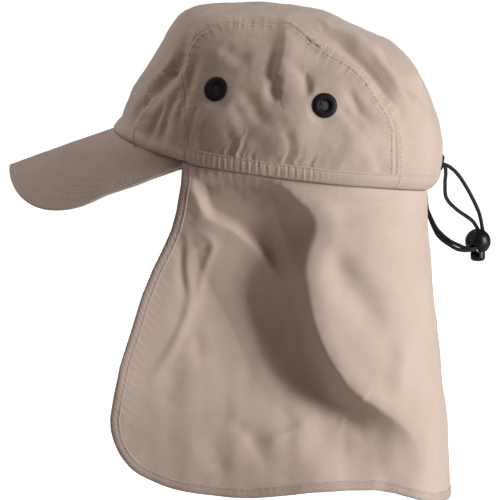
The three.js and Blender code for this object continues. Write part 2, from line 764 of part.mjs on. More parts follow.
// Half of the hem's line, from the middle of the back round the left side and up the front corner
function hemLine() {
  const points = [];
  const rimAtSide = -flapLength;
  const quarterSteps = 24;
  for (let i = 0; i <= quarterSteps; i += 1) {
    const turn = (i / quarterSteps) * (Math.PI / 2);
    const x = flapHalfWidth * Math.sin(turn) ** (2 / 2.3);
    const y = flapBackReach * Math.cos(turn) ** (2 / 2.3);
    const backShare = clamp01(y / flapBackReach);
    points.push(new THREE.Vector3(x, y, rimAtSide - flapBackDrop * backShare ** 2));
  }
  const arcStartY = -(flapCornerReach - flapCornerRadius);
  const legX = (y) => THREE.MathUtils.lerp(flapHalfWidth, flapCornerHalfWidth, (y / flapCornerReach) ** 2);
  const legSteps = 5;
  for (let i = 1; i <= legSteps; i += 1) {
    const y = (arcStartY * i) / legSteps;
    points.push(new THREE.Vector3(legX(y), y, rimAtSide));
  }
  const arcSteps = 16;
  for (let i = 1; i <= arcSteps; i += 1) {
    const turn = (i / arcSteps) * (Math.PI / 2);
    const y = arcStartY - flapCornerRadius * Math.sin(turn);
    const z = rimAtSide + flapCornerRadius * (1 - Math.cos(turn));
    points.push(new THREE.Vector3(legX(y), y, z));
  }
  return points;
}

// Half of the flap's upper edge, just under the casing, from the middle of the back to its end
function flapTopLine() {
  const points = [];
  const steps = 60;
  for (let i = 0; i <= steps; i += 1) {
    const frame = rimFrame((casingEndAngle * i) / steps, 0);
    frame.point.addScaledVector(frame.away, -flapTuck);
    frame.point.z -= gap;
    points.push(frame.point);
  }
  return points;
}

// Where the main fold's edge crosses a row of the flap, as a share of the row
function foldShare(row) {
  const crossing = row.findIndex((point) => {
    const share = (rimHeight(point.y) - point.z) / flapLength;
    const edge = readRows(mainFold, 'along', findRow(mainFold, 'drop', share)) * crownHalfLength;
    return point.y < edge;
  });
  return crossing / (row.length - 1);
}

// The neck flap: hung from under the casing, wider and further back at its hem, with its folds.
// One column of its grid runs down the main fold's edge on each side.
function addFlap() {
  const fine = 200;
  const half = flapColumns / 2;
  const foldColumn = Math.round(half * 0.38);
  const top = spreadEvenly(flapTopLine(), fine);
  const hem = spreadEvenly(hemLine(), fine);
  const rows = [];
  for (let i = 0; i <= flapRows; i += 1) {
    const down = i / flapRows;
    const sway = 0.85 * smooth(down) + 0.15 * down;
    const line = top.map((start, k) => new THREE.Vector3(
      THREE.MathUtils.lerp(start.x, hem[k].x, sway),
      THREE.MathUtils.lerp(start.y, hem[k].y, sway),
      THREE.MathUtils.lerp(start.z, hem[k].z, down),
    ));
    const crossing = foldShare(line);
    const row = [];
    for (let j = -half; j <= half; j += 1) {
      const k = Math.abs(j);
      const share = k < foldColumn
        ? (crossing * k) / foldColumn
        : crossing + ((1 - crossing) * (k - foldColumn)) / (half - foldColumn);
      const point = line[Math.round(share * fine)].clone();
      if (j < 0) point.x = -point.x;
      row.push(point);
    }
    rows.push(row.reverse());
  }
  const surface = gridSurface(rows.reverse());
  const normals = surfaceNormals(surface);
  surface.points.forEach((point, i) => {
    const drop = rimHeight(point.y) - point.z;
    const share = point.x > 0 ? 1 : rightSideFoldShare;
    const sideways = smooth((Math.abs(point.x) / crownHalfWidth - 0.1) / 0.45);
    const depth = flapFoldDepth(point.y, drop) * share * sideways;
    point.addScaledVector(normals[i], -depth * smooth(drop / 12));
  });
  return clothWall(surface, () => flapCloth);
}

// Eyelets, and the fine mesh in each vent
function addEyelets() {
  const meshRadius = ventHole / 2 - gap;
  for (const { name, seat } of ventSeats) {
    const ring = placeOn(seat, eyeletGeometry(ventDiameter, ventHole, ventBarrel));
    addPiece(`vent_eyelet_${name}`, ring, blackPaint);
    const disc = drill(meshRadius, meshThickness);
    addPiece(`vent_mesh_${name}`, placeOn(seat, disc), blackPaint);
  }
  const ring = placeOn(cordEyeletSeat, eyeletGeometry(cordEyeletDiameter, cordEyeletHole, cordEyeletBarrel));
  addPiece('cord_eyelet', ring, blackPaint);
}

// The elastic cord as one tube along its route
function addCord() {
  const route = new THREE.CatmullRomCurve3(cordRoute.map((p) => new THREE.Vector3(...p)), false, 'centripetal');
  const section = new THREE.Shape();
  for (let i = 0; i < cordSides; i += 1) {
    const turn = (i / cordSides) * 2 * Math.PI;
    const x = (cordDiameter / 2) * Math.cos(turn);
    const y = (cordDiameter / 2) * Math.sin(turn);
    if (i === 0) section.moveTo(x, y);
    else section.lineTo(x, y);
  }
  section.closePath();
  const tube = new THREE.ExtrudeGeometry(section, { steps: cordSteps, extrudePath: route, curveSegments: 1 });
  addPiece('draw_cord', tube, blackElastic);
}

// A flat-sided hole with round ends, running level through the ball along the cord's heading
function crossHole(width, height, length, up) {
  const straight = (width - height) / 2;
  const shape = new THREE.Shape();
  shape.absarc(straight, 0, height / 2, -Math.PI / 2, Math.PI / 2, false);
  shape.absarc(-straight, 0, height / 2, Math.PI / 2, 1.5 * Math.PI, false);
  const hole = new THREE.ExtrudeGeometry(shape, { depth: length, bevelEnabled: false, curveSegments: 3 });
  hole.translate(0, 0, -length / 2);
  hole.rotateX(Math.PI / 2);
  hole.rotateZ(Math.PI / 2 - radians(lockHoleHeading));
  hole.translate(ballCentre.x, ballCentre.y, ballCentre.z + up);
  return solidOf(hole);
}

// The ball lock: a ball bored from below for its plunger, and a hole across both for the cord
function addLock() {
  const radius = ballDiameter / 2;
  const ball = new THREE.SphereGeometry(radius, 16, 10);
  ball.rotateX(Math.PI / 2);
  ball.translate(ballCentre.x, ballCentre.y, ballCentre.z);
  const shaftTop = -lockHoleDrop + cordDiameter / 2 + gap + 1.4;
  const boreTop = shaftTop + plungerTravel + gap;
  const boreRadius = plungerDiameter / 2 + runningGap;
  const boreLength = boreTop + radius + 2;
  const bore = new THREE.CylinderGeometry(boreRadius, boreRadius, boreLength, 16);
  bore.rotateX(Math.PI / 2);
  bore.translate(ballCentre.x, ballCentre.y, ballCentre.z + boreTop - boreLength / 2);
  const body = solidOf(ball).subtract(solidOf(bore))
    .subtract(crossHole(lockHoleWidth, lockHoleHeight, 3 * radius, -lockHoleDrop));
  addPiece('lock_ball', geometryOfSolid(body), blackPlastic);

  const shaftBottom = -radius - plungerStandOut;
  const plungerRadius = plungerDiameter / 2;
  const profile = [
    [0, shaftBottom], [plungerRadius * 0.7, shaftBottom], [plungerRadius * 0.94, shaftBottom + 0.7],
    [plungerRadius, shaftBottom + 1.6], [plungerRadius, shaftTop], [0, shaftTop],
  ];
  const shaft = new THREE.LatheGeometry(profile.map(([r, z]) => new THREE.Vector2(r, z)), 16);
  shaft.rotateX(Math.PI / 2);
  shaft.translate(ballCentre.x, ballCentre.y, ballCentre.z);
  const slotTop = -lockHoleDrop + cordDiameter / 2 + gap;
  const slotBottom = -lockHoleDrop - cordDiameter / 2 - gap - plungerTravel;
  const slotWidth = cordSpacing + cordDiameter + 2 * gap;
  const slot = new THREE.BoxGeometry(slotWidth, 3 * plungerRadius, slotTop - slotBottom);
  slot.rotateZ(Math.PI / 2 - radians(lockHoleHeading));
  slot.translate(ballCentre.x, ballCentre.y, ballCentre.z + (slotTop + slotBottom) / 2);
  const plunger = solidOf(shaft).subtract(solidOf(slot));
  addPiece('lock_plunger', geometryOfSolid(plunger), blackPlastic);
}

addCrown();
addCasing();
addPeak();
addPiece('neck_flap', addFlap(), cloth);
addEyelets();
addCord();
addLock();

export default group;
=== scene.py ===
"""A legionnaire cap in sand cotton twill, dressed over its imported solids.

The cloth pieces are laid on the same crown form and hem lines as the solids, then given their
seams, creases, gathers and stitches. Lengths are in metres, except in tables that say millimetres.
"""
from __future__ import annotations

import logging
import math
from dataclasses import dataclass, field
from enum import Enum

import bmesh
import bpy
import numpy as np
from mathutils import Matrix, Vector, noise
from mathutils.bvhtree import BVHTree


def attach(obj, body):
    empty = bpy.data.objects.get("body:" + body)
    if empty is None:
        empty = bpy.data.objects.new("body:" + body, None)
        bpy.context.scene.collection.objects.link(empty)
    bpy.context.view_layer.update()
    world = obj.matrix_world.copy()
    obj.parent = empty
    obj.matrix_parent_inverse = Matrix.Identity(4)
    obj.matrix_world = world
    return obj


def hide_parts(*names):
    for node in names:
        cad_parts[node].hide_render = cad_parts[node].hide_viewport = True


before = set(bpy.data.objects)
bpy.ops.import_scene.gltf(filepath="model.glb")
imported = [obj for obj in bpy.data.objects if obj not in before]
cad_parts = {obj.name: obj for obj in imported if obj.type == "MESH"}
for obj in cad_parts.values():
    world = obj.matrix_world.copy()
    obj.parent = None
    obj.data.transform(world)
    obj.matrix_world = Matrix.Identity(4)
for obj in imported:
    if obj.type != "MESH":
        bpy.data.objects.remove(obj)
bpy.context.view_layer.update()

MM = 0.001
WELD = 1e-6
CAP = "cap"
PLUNGER = "plunger"

log = logging.getLogger("cap")

Array = np.ndarray
Piece = bpy.types.Object
Material = bpy.types.Material
Socket = bpy.types.NodeSocket
NodeTree = bpy.types.NodeTree
Colour = tuple[float, float, float]


class Side(Enum):
    """The two sides of the cap, as the sign of X."""

    LEFT = 1
    RIGHT = -1

    @property
    def word(self) -> str:
        """The side's name, as the solids spell it."""
        return self.name.lower()


# One row per level of the crown: its height as a share of the crown's, its front, back and side
# as shares of the half length and half width, and how square its outline is
CROWN_LEVELS = np.array([
    (0.00, -0.994, 0.930, 0.985, 2.2),
    (0.08, -0.940, 0.985, 0.998, 2.2),
    (0.20, -0.908, 1.008, 0.996, 2.25),
    (0.35, -0.865, 0.985, 0.973, 2.3),
    (0.50, -0.797, 0.930, 0.940, 2.4),
    (0.65, -0.727, 0.830, 0.890, 2.5),
    (0.78, -0.667, 0.660, 0.820, 2.6),
    (0.88, -0.615, 0.465, 0.700, 2.7),
    (0.945, -0.570, 0.320, 0.565, 2.8),
    (0.985, -0.500, 0.160, 0.440, 2.8),
    (1.00, -0.390, 0.020, 0.290, 2.6),
])

# Seams of the side view, as shares of the half length (+ to the back) and of the crown's height
SIDE_SEAM = np.array([
    (-0.52, -0.40), (-0.52, 0.24), (-0.545, 0.48), (-0.56, 0.66), (-0.54, 0.76), (-0.49, 0.855),
    (-0.42, 0.91), (-0.31, 0.945), (-0.17, 0.95), (0.05, 0.94), (0.13, 0.90), (0.23, 0.83),
    (0.40, 0.735), (0.52, 0.63), (0.62, 0.48), (0.69, 0.34), (0.71, 0.14), (0.70, -0.40),
])
SIDE_SEAM_FRONT_CORNER = 5
SIDE_SEAM_BACK_CORNER = 11
SIDE_SEAM_JOIN = 3
GUSSET_SEAM = np.array([
    (-0.865, -0.40), (-0.85, 0.19), (-0.80, 0.39), (-0.745, 0.55), (-0.66, 0.635), (-0.56, 0.66),
])
GUSSET_CORNER = 3
VENTS = {"front": (-0.36, 0.555), "rear": (0.285, 0.458)}
CORD_EYELET_UP = -0.017

# The draw cord's centre line in millimetres: out of the eyelet at the back, down behind the ball,
# through it, round the loop, back through it and up into the eyelet
CORD_ROUTE = np.array([
    (-1.4, 97.0, -1.9), (-1.5, 99.8, -2.5), (-2.0, 104.4, -4.6), (-2.5, 109.8, -10.0),
    (-3.2, 116.0, -20.0), (-4.0, 121.2, -30.7), (-5.0, 123.0, -36.9), (-6.4, 124.1, -42.6),
    (-8.9, 125.7, -47.0), (-8.9, 126.9, -50.9), (-5.5, 125.6, -52.7), (0.64, 122.3, -52.7),
    (6.8, 119.0, -52.7), (10.0, 115.4, -53.2), (9.6, 109.6, -52.9), (6.2, 104.2, -50.6),
    (0.9, 98.8, -47.2), (-5.0, 95.4, -43.0), (-15.8, 91.6, -34.0), (-20.8, 90.6, -27.6),
    (-24.8, 89.9, -20.2), (-28.0, 89.0, -26.4), (-19.6, 91.0, -32.0), (-7.0, 95.4, -40.6),
    (-1.0, 99.2, -44.7), (4.5, 104.2, -48.2), (7.6, 109.6, -50.5), (8.4, 113.4, -52.0),
    (5.5, 116.6, -52.7), (-0.64, 119.9, -52.7), (-6.8, 123.2, -52.7), (-9.9, 124.3, -50.9),
    (-10.2, 123.2, -47.2), (-7.2, 120.7, -41.8), (-4.0, 117.3, -36.8), (-1.0, 108.0, -29.7),
    (0.8, 102.0, -22.6), (1.4, 101.2, -13.5), (1.5, 101.6, -7.6), (1.45, 100.9, -3.6),
    (1.4, 97.0, -2.3),
])


def smooth(value: Array) -> Array:
    """A smooth step from 0 to 1 as value goes from 0 to 1."""
    share = np.clip(value, 0.0, 1.0)
    return share * share * (3.0 - 2.0 * share)


def hump(distance: Array, width: Array) -> Array:
    """A rounded bump, 1 in the middle and gone at about twice its width."""
    return np.exp(-((distance / width) ** 2))


def unit(vectors: Array) -> Array:
    """The vectors at length one."""
    length = np.linalg.norm(vectors, axis=-1, keepdims=True)
    return vectors / np.maximum(length, 1e-12)


def through_rows(table: Array, steps: int) -> Array:
    """Runs a smooth curve through the rows of a table.

    Args:
        table: One row per point, in any number of columns.
        steps: How many points the curve has between two rows.

    Returns:
        The points of the curve, the first and last rows included.
    """
    last = len(table) - 1
    rows = np.linspace(0, last, last * steps + 1)
    low = np.minimum(rows.astype(int), last - 1)
    share = (rows - low)[:, None]
    before = table[np.maximum(low - 1, 0)]
    start = table[low]
    end = table[low + 1]
    after = table[np.minimum(low + 2, last)]
    leave = (end - before) / 2
    arrive = (after - start) / 2
    square = share**2
    cube = share**3
    return ((2 * cube - 3 * square + 1) * start + (cube - 2 * square + share) * leave
            + (3 * square - 2 * cube) * end + (cube - square) * arrive)


def arc_lengths(points: Array) -> Array:
    """The distance along a line of points, at each of them."""
    steps = np.linalg.norm(np.diff(points, axis=0), axis=1)
    return np.concatenate([[0.0], np.cumsum(steps)])


def against_line(line: Array, place: Array) -> tuple[Array, Array, Array]:
    """Measures places of a plane against a line.

    Args:
        line: The line's points.
        place: The places, in the line's own units.

    Returns:
        The distance, the side (below zero to the right of the line's direction) and the share of
        the way along.
    """
    best = np.full(place.shape[:-1], 1e9)
    side = np.ones(place.shape[:-1])
    share = np.zeros(place.shape[:-1])
    along = arc_lengths(line)
    for k in range(len(line) - 1):
        step = line[k + 1] - line[k]
        offset = place - line[k]
        t = np.clip((offset @ step) / (step @ step), 0, 1)
        gap = offset - t[..., None] * step
        distance = np.hypot(gap[..., 0], gap[..., 1])
        closer = distance < best
        best = np.where(closer, distance, best)
        side = np.where(closer, np.sign(step[0] * offset[..., 1] - step[1] * offset[..., 0]), side)
        share = np.where(closer, (along[k] + t * (along[k + 1] - along[k])) / along[-1], share)
    return best, side, share


def spread(points: Array, count: int) -> Array:
    """Spreads points evenly along a line.

    Args:
        points: The line's own points.
        count: How many points are wanted.

    Returns:
        That many points, evenly spaced, the line's two ends included.
    """
    along = arc_lengths(points)
    wanted = np.linspace(0, along[-1], count)
    return np.stack([np.interp(wanted, along, points[:, k]) for k in range(points.shape[1])], axis=1)


def waver(value: Array, seed: float) -> Array:
    """A smooth irregular wave between about -1 and 1, with features about one unit long."""
    return (np.sin(value * 2.1 + seed) + 0.7 * np.sin(value * 3.7 + seed * 2.3)
            + 0.5 * np.sin(value * 6.1 + seed * 3.1)) / 1.8


def roughness_of(points: Array, feature: float, seed: float) -> Array:
    """Gentle unevenness over a surface.

    Args:
        points: The places where it is read.
        feature: The size of its bumps.
        seed: Shifts the pattern.

    Returns:
        A value between about -1 and 1 for each place.
    """
    flat = points.reshape(-1, 3) / feature + seed
    values = [noise.fractal(Vector(place), 1.0, 2.0, 2) for place in flat]
    return np.array(values).reshape(points.shape[:-1])


@dataclass(frozen=True)
class CrownForm:
    """The smooth outer form of the crown, which every cloth piece is laid on."""

    half_length: float = 0.099
    half_width: float = 0.084
    height: float = 0.092
    rim_pitch: float = math.radians(7.7)
    front_arch: float = 0.006
    back_dip: float = 0.0035
    casing_end: float = -0.535
    rows: Array = field(default_factory=lambda: through_rows(CROWN_LEVELS, 24))

    def rim_height(self, y: Array) -> Array:
        """Height of the rim's lower edge."""
        along = np.asarray(y) / self.half_length
        arch = self.front_arch * np.clip((-along - 0.45) / 0.54, 0, 1) ** 1.2
        dip = self.back_dip * np.clip((along - 0.4) / 0.53, 0, 1) ** 4
        return -math.tan(self.rim_pitch) * np.asarray(y) + arch - dip

    def outline(self, rise: Array) -> tuple[Array, Array, Array, Array]:
        """The crown's outline at a share of its height.

        Args:
            rise: The height above the rim as a share of the way to the top.

        Returns:
            Its middle along Y, its half length, its half width and its squareness.
        """
        front, back, side, square = [np.interp(rise, self.rows[:, 0], self.rows[:, k])
                                     for k in range(1, 5)]
        front = front * self.half_length
        back = back * self.half_length
        return (front + back) / 2, (back - front) / 2, side * self.half_width, square

    def measure(self, points: Array) -> tuple[Array, Array, Array]:
        """Measures points against the form.

        Args:
            points: Places in space.

        Returns:
            Their height as a share of the crown's, the outline's own sum, which is 1 on the
            surface, and the outline's squareness there.
        """
        rim = self.rim_height(points[..., 1])
        rise = (points[..., 2] - rim) / (self.height - rim)
        middle, half_length, half_width, square = self.outline(np.clip(rise, 0, 1))
        total = (np.abs(points[..., 0] / half_width) ** square
                 + np.abs((points[..., 1] - middle) / half_length) ** square)
        return rise, total, square

    def is_inside(self, points: Array) -> Array:
        """Whether points lie inside the form."""
        rise, total, _ = self.measure(points)
        return (total < 1) & (rise < 1)

    def cast(self, start: Array, direction: Array, reach: float = 0.16) -> Array:
        """Sends rays from inside the form to its surface.

        Args:
            start: Where the rays start, inside.
            direction: Their directions, of length one.
            reach: The furthest they go.

        Returns:
            The points where they meet the surface.
        """
        near = np.zeros(start.shape[:-1])
        far = np.full(start.shape[:-1], reach)
        for _ in range(24):
            middle = (near + far) / 2
            inside = self.is_inside(start + direction * middle[..., None])
            near = np.where(inside, middle, near)
            far = np.where(inside, far, middle)
        return start + direction * near[..., None]

    def reach_of(self, points: Array) -> Array:
        """How far out points lie, as a share of the outline at their height."""
        _, total, square = self.measure(points)
        return total ** (1 / square)

    def normals_at(self, points: Array) -> Array:
        """Outward normals of the form at points of its surface."""
        step = 0.0004
        here = self.reach_of(points)
        slope = np.empty_like(points)
        for axis in range(3):
            move = np.zeros(3)
            move[axis] = step
            after = here if axis == 2 else self.reach_of(points + move)
            slope[..., axis] = after - self.reach_of(points - move)
            slope[..., axis] /= step if axis == 2 else 2 * step
        side = unit(slope)
        share = smooth((here - 0.80) / 0.19)[..., None]
        return unit(side * share + np.array([0.0, 0.0, 1.0]) * (1 - share))

    def from_side(self, view: Array, side: Side) -> Array:
        """The surface's points that the side view shows at (y, z)."""
        start = np.stack([np.zeros(view.shape[:-1]), view[..., 0], view[..., 1]], axis=-1)
        direction = np.zeros_like(start)
        direction[..., 0] = side.value
        return self.cast(start, direction)

    def rim_points(self, angle: Array) -> Array:
        """Points of the rim's lower edge; angle 0 is the back, a quarter turn the left side."""
        middle, half_length, half_width, square = self.outline(np.zeros_like(angle))
        power = 2 / square
        y = middle + half_length * np.sign(np.cos(angle)) * np.abs(np.cos(angle)) ** power
        x = half_width * np.sign(np.sin(angle)) * np.abs(np.sin(angle)) ** power
        return np.stack([x, y, self.rim_height(y)], axis=-1)

    def rim_away(self, angle: Array) -> Array:
        """The level direction away from the cap at each place of the rim."""
        turn = self.rim_points(angle + 0.02) - self.rim_points(angle - 0.02)
        away = np.stack([turn[..., 1], -turn[..., 0], np.zeros_like(turn[..., 0])], axis=-1)
        away = unit(away)
        place = self.rim_points(angle)
        facing = np.sign((away * place).sum(axis=-1, keepdims=True))
        return away * facing

    def above_rim(self, angle: Array, above: Array | float, out: Array | float) -> Array:
        """Points near the rim.

        Args:
            angle: Where they are round the rim.
            above: Their height over the rim's lower edge.
            out: Their distance out from the crown's surface.

        Returns:
            The points, in the broadcast shape of the three.
        """
        angle, above, out = np.broadcast_arrays(angle, above, out)
        place = self.rim_points(angle)
        away = self.rim_away(angle)
        lifted = place + np.stack([0 * above, 0 * above, above], axis=-1)
        inner = lifted - away * 0.02
        surface = self.cast(inner, away, reach=0.04)
        return surface + away * out[..., None]

    @property
    def casing_angle(self) -> float:
        """The angle round the rim at which the casing and the flap end."""
        middle, half_length, _, square = self.outline(np.zeros(1))
        share = float((self.casing_end * self.half_length - middle[0]) / half_length[0])
        return math.acos(math.copysign(abs(share) ** (float(square[0]) / 2), share))


FORM = CrownForm()
INSIDE_CROWN = np.array([0.0, 0.0, 0.02])
INSIDE_FLAP = np.array([0.0, 0.0, -0.1])
BELOW_PEAK = np.array([0.0, -0.1, -1.0])
SIDE_STITCH = 0.004
GUSSET_STITCH = 0.0016


def seam_view(table: Array) -> Array:
    """A seam table as a dense line of the side view, in metres."""
    return through_rows(table, 40) * np.array([FORM.half_length, FORM.height])


@dataclass(frozen=True)
class Crease:
    """A crease in cloth, along a line of the side view in millimetres.

    Attributes:
        line: Its points, (y, z).
        depth: How deep it is, below zero for a ridge.
        before: Its width on the right-hand side of the line's direction.
        after: Its width on the other side.
    """

    line: tuple[tuple[float, float], ...]
    depth: float
    before: float
    after: float

    def depth_at(self, view: Array) -> Array:
        """The crease's depth in metres at points (y, z) in metres."""
        line = np.array(self.line, float)
        if len(line) > 2:
            line = through_rows(line, 6)
        distance, side, share = against_line(line, view / MM)
        width = np.where(side < 0, self.before, self.after)
        taper = smooth(share / 0.3) * smooth((1 - share) / 0.3) * 0.8 + 0.2
        return self.depth * MM * taper * hump(distance, width)


def creased(creases: tuple[Crease, ...], view: Array) -> Array:
    """The depth of all the creases together at points of the side view."""
    return sum((crease.depth_at(view) for crease in creases), np.zeros(view.shape[:-1]))


class SeamLine:
    """A sewn line on the crown, with the distance to it and the place along it."""

    def __init__(self, points: Array) -> None:
        """Keeps the line's points, evenly spread."""
        count = int(arc_lengths(points)[-1] / 0.0006)
        self.points = spread(points, count)
        self.along = arc_lengths(self.points)

    def nearest(self, places: Array, within: float = 0.014) -> tuple[Array, Array]:
        """Measures places against the seam.

        Args:
            places: Points in space.
            within: Beyond this distance a place is only known to be far.

        Returns:
            The distance to the seam and the place along it, for each point.
        """
        flat = places.reshape(-1, 3)
        coarse = self.points[::16]
        rough = np.full(len(flat), 1e9)
        for point in coarse:
            rough = np.minimum(rough, np.linalg.norm(flat - point, axis=1))
        distance = np.full(len(flat), 1.0)
        along = np.zeros(len(flat))
        near = np.flatnonzero(rough < within + 0.006)
        for part in np.array_split(near, max(1, len(near) // 1500)):
            gaps = np.linalg.norm(flat[part][:, None, :] - self.points[None, :, :], axis=2)
            best = gaps.argmin(axis=1)
            distance[part] = gaps[np.arange(len(part)), best]
            along[part] = self.along[best]
        return distance.reshape(places.shape[:-1]), along.reshape(places.shape[:-1])


def grid_normals(points: Array) -> Array:
    """Normals of a grid of points, by its two directions."""
    down = np.gradient(points, axis=0)
    across = np.gradient(points, axis=1)
    return unit(np.cross(across, down))


def outward_normals(points: Array, inside: Array) -> Array:
    """Normals of a grid of points, turned away from a place inside it."""
    normals = grid_normals(points)
    facing = np.sign(((points - inside) * normals).sum(axis=-1).sum())
    return normals * facing


def take(bm: bmesh.types.BMesh, name: str) -> Piece:
    """Turns a bmesh into a linked, smooth-shaded object and frees it."""
    mesh = bpy.data.meshes.new(name)
    bm.to_mesh(mesh)
    bm.free()
    mesh.shade_smooth()
    piece = bpy.data.objects.new(name, mesh)
    bpy.context.scene.collection.objects.link(piece)
    return piece


def surface_of(*pieces: Piece) -> BVHTree:
    """One surface to lie on, from one or more pieces."""
    places: list = []
    faces: list = []
    for piece in pieces:
        offset = len(places)
        places.extend(v.co[:] for v in piece.data.vertices)
        faces.extend(tuple(i + offset for i in p.vertices) for p in piece.data.polygons)
    return BVHTree.FromPolygons(places, faces)


def seal(piece: Piece) -> None:
    """Joins the borders of a tube's mesh where they meet, and fills its two ends."""
    bm = bmesh.new()
    bm.from_mesh(piece.data)
    bmesh.ops.remove_doubles(bm, verts=bm.verts, dist=WELD)
    bmesh.ops.holes_fill(bm, edges=[edge for edge in bm.edges if edge.is_boundary], sides=0)
    bm.to_mesh(piece.data)
    bm.free()


def cloth_grid(name: str, points: Array, inside: Array) -> Piece:
    """Makes a cloth surface from a grid of points, facing away from a place inside it.

    Args:
        name: The piece's name.
        points: Rows of points, one per vertex.
        inside: A place on the inner side, one for all or one per point.

    Returns:
        The piece, with a UV map that holds lengths along its rows and columns.
    """
    rows, columns = points.shape[:2]
    normals = grid_normals(points)
    if ((points - inside) * normals).sum() < 0:
        points = points[:, ::-1]
    bm = bmesh.new()
    bmesh.ops.create_grid(bm, x_segments=columns - 1, y_segments=rows - 1, size=0.5)
    piece = take(bm, name)
    mesh = piece.data
    flat = np.empty(len(mesh.vertices) * 3)
    mesh.vertices.foreach_get("co", flat)
    place = flat.reshape(-1, 3)
    column = np.rint((place[:, 0] + 0.5) * (columns - 1)).astype(int)
    row = np.rint((place[:, 1] + 0.5) * (rows - 1)).astype(int)
    mesh.vertices.foreach_set("co", points[row, column].ravel())
    add_cloth_lengths(mesh, points, row, column)
    mesh.update()
    return piece


def add_cloth_lengths(mesh: bpy.types.Mesh, points: Array, row: Array, column: Array) -> None:
    """Stores how far each vertex lies along the cloth, as the UV map "weave", in metres."""
    across = np.linalg.norm(np.diff(points, axis=1), axis=2)
    across = np.concatenate([np.zeros((len(points), 1)), np.cumsum(across, axis=1)], axis=1)
    across -= across[:, [points.shape[1] // 2]]
    down = np.linalg.norm(np.diff(points, axis=0), axis=2)
    down = np.concatenate([np.zeros((1, points.shape[1])), np.cumsum(down, axis=0)], axis=0)
    weave = np.stack([across, down], axis=-1)[row, column]
    corners = np.empty(len(mesh.loops), dtype=int)
    mesh.loops.foreach_get("vertex_index", corners)
    layer = mesh.uv_layers.new(name="weave")
    layer.data.foreach_set("uv", weave[corners].ravel())


def add_wall(piece: Piece, thickness: float) -> None:
    """Gives a cloth surface its thickness, on its inner side."""
    wall = piece.modifiers.new("thickness", "SOLIDIFY")
    wall.thickness = thickness
    wall.offset = -1.0


def dress(piece: Piece, material: Material, node: str = "",
          body: str = CAP) -> None:
    """Gives a piece its material in its one slot, hides the solid it stands for, if any, and puts it on its
    body.
    """
    piece.data.materials.clear()
    piece.data.materials.append(material)
    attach(piece, body)
    if node:
        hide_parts(node)
    log.info("%s: %d vertices", piece.name, len(piece.data.vertices))


def add_bevel(piece: Piece, width: float, segments: int, angle: float) -> None:
    """Rounds a piece's edges that are sharper than an angle in degrees."""
    edge = piece.modifiers.new("edge", "BEVEL")
    edge.width = width
    edge.segments = segments
    edge.limit_method = "ANGLE"
    edge.angle_limit = math.radians(angle)


def spun(name: str, profile: Array, steps: int) -> Piece:
    """Spins a closed outline round the Z axis.

    Args:
        name: The piece's name.
        profile: The outline's points, (radius, height), in order.
        steps: How many steps the turn has.

    Returns:
        The ring, closed and facing outwards.
    """
    bm = bmesh.new()
    verts = [bm.verts.new((radius, 0.0, height)) for radius, height in profile]
    edges = [bm.edges.new((verts[k - 1], verts[k])) for k in range(len(verts))]
    bmesh.ops.spin(bm, geom=verts + edges, cent=(0, 0, 0), axis=(0, 0, 1), dvec=(0, 0, 0),
                   angle=2 * math.pi, steps=steps, use_merge=True, use_duplicate=False)
    bmesh.ops.remove_doubles(bm, verts=bm.verts, dist=WELD)
    bmesh.ops.recalc_face_normals(bm, faces=bm.faces)
    return take(bm, name)


def move_mesh(piece: Piece, place: Array, facing: Array) -> None:
    """Turns a mesh made round +Z to face along a direction, and moves it to its place."""
    turn = Vector(facing).to_track_quat("Z", "Y").to_matrix().to_4x4()
    piece.data.transform(Matrix.Translation(Vector(place)) @ turn)


def cut_with(piece: Piece, cutter: Piece) -> None:
    """Cuts one piece out of another for good, and removes the cutter."""
    hole = piece.modifiers.new("hole", "BOOLEAN")
    hole.operation = "DIFFERENCE"
    hole.solver = "EXACT"
    hole.object = cutter
    bpy.context.view_layer.update()
    result = piece.evaluated_get(bpy.context.evaluated_depsgraph_get())
    mesh = bpy.data.meshes.new_from_object(result)
    piece.modifiers.clear()
    piece.data = mesh
    bpy.data.objects.remove(cutter)


@dataclass(frozen=True)
class SeamRelief:
    """How a flat sewn seam stands on the cloth, in millimetres.

    Attributes:
        groove: Depth of the line where the panels meet.
        lift: How much the folded allowance lifts the cloth.
        band: How far the allowance reaches from the line.
        stitch: Where the row of stitches runs.
        dip: How deep the stitches pull the cloth.
        pucker: Height of the puckers.
        period: Distance between puckers.
        reach: How far the puckers run from the line.
    """

    groove: float = 0.20
    lift: float = 0.35
    band: float = 5.0
    stitch: float = 4.0
    dip: float = 0.35
    pucker: float = 0.22
    period: float = 5.5
    reach: float = 11.0

    def height(self, distance: Array, along: Array, seed: float) -> Array:
        """Height of the relief in metres.

        Args:
            distance: Distance from the seam.
            along: Place along the seam.
            seed: Shifts the puckers.

        Returns:
            The height over the plain cloth, below zero for a dip.
        """
        gap = distance / MM
        plateau = smooth((gap + 0.4) / 1.6) * (1 - smooth((gap - self.band + 0.6) / 1.2))
        wave = waver(along / MM / self.period * math.pi, seed)
        window = smooth(gap / 1.5) * (1 - smooth((gap - self.stitch) / (self.reach - self.stitch)))
        return MM * (self.lift * plateau - self.groove * hump(gap, 0.55)
                     - self.dip * hump(gap - self.stitch, 0.55) + self.pucker * wave * window)


def coons_patch(left: Array, right: Array, bottom: Array, top: Array) -> Array:
    """Fills four border lines with a grid of points.

    Args:
        left: Points up the left border.
        right: Points up the right border, as many.
        bottom: Points along the bottom, from left to right.
        top: Points along the top, as many.

    Returns:
        Rows of points from the bottom to the top.
    """
    u = np.linspace(0, 1, len(bottom))[None, :, None]
    v = np.linspace(0, 1, len(left))[:, None, None]
    between_sides = (1 - u) * left[:, None] + u * right[:, None]
    between_ends = (1 - v) * bottom[None] + v * top[None]
    corners = ((1 - v) * ((1 - u) * bottom[0] + u * bottom[-1])
               + v * ((1 - u) * top[0] + u * top[-1]))
    return between_sides + between_ends - corners


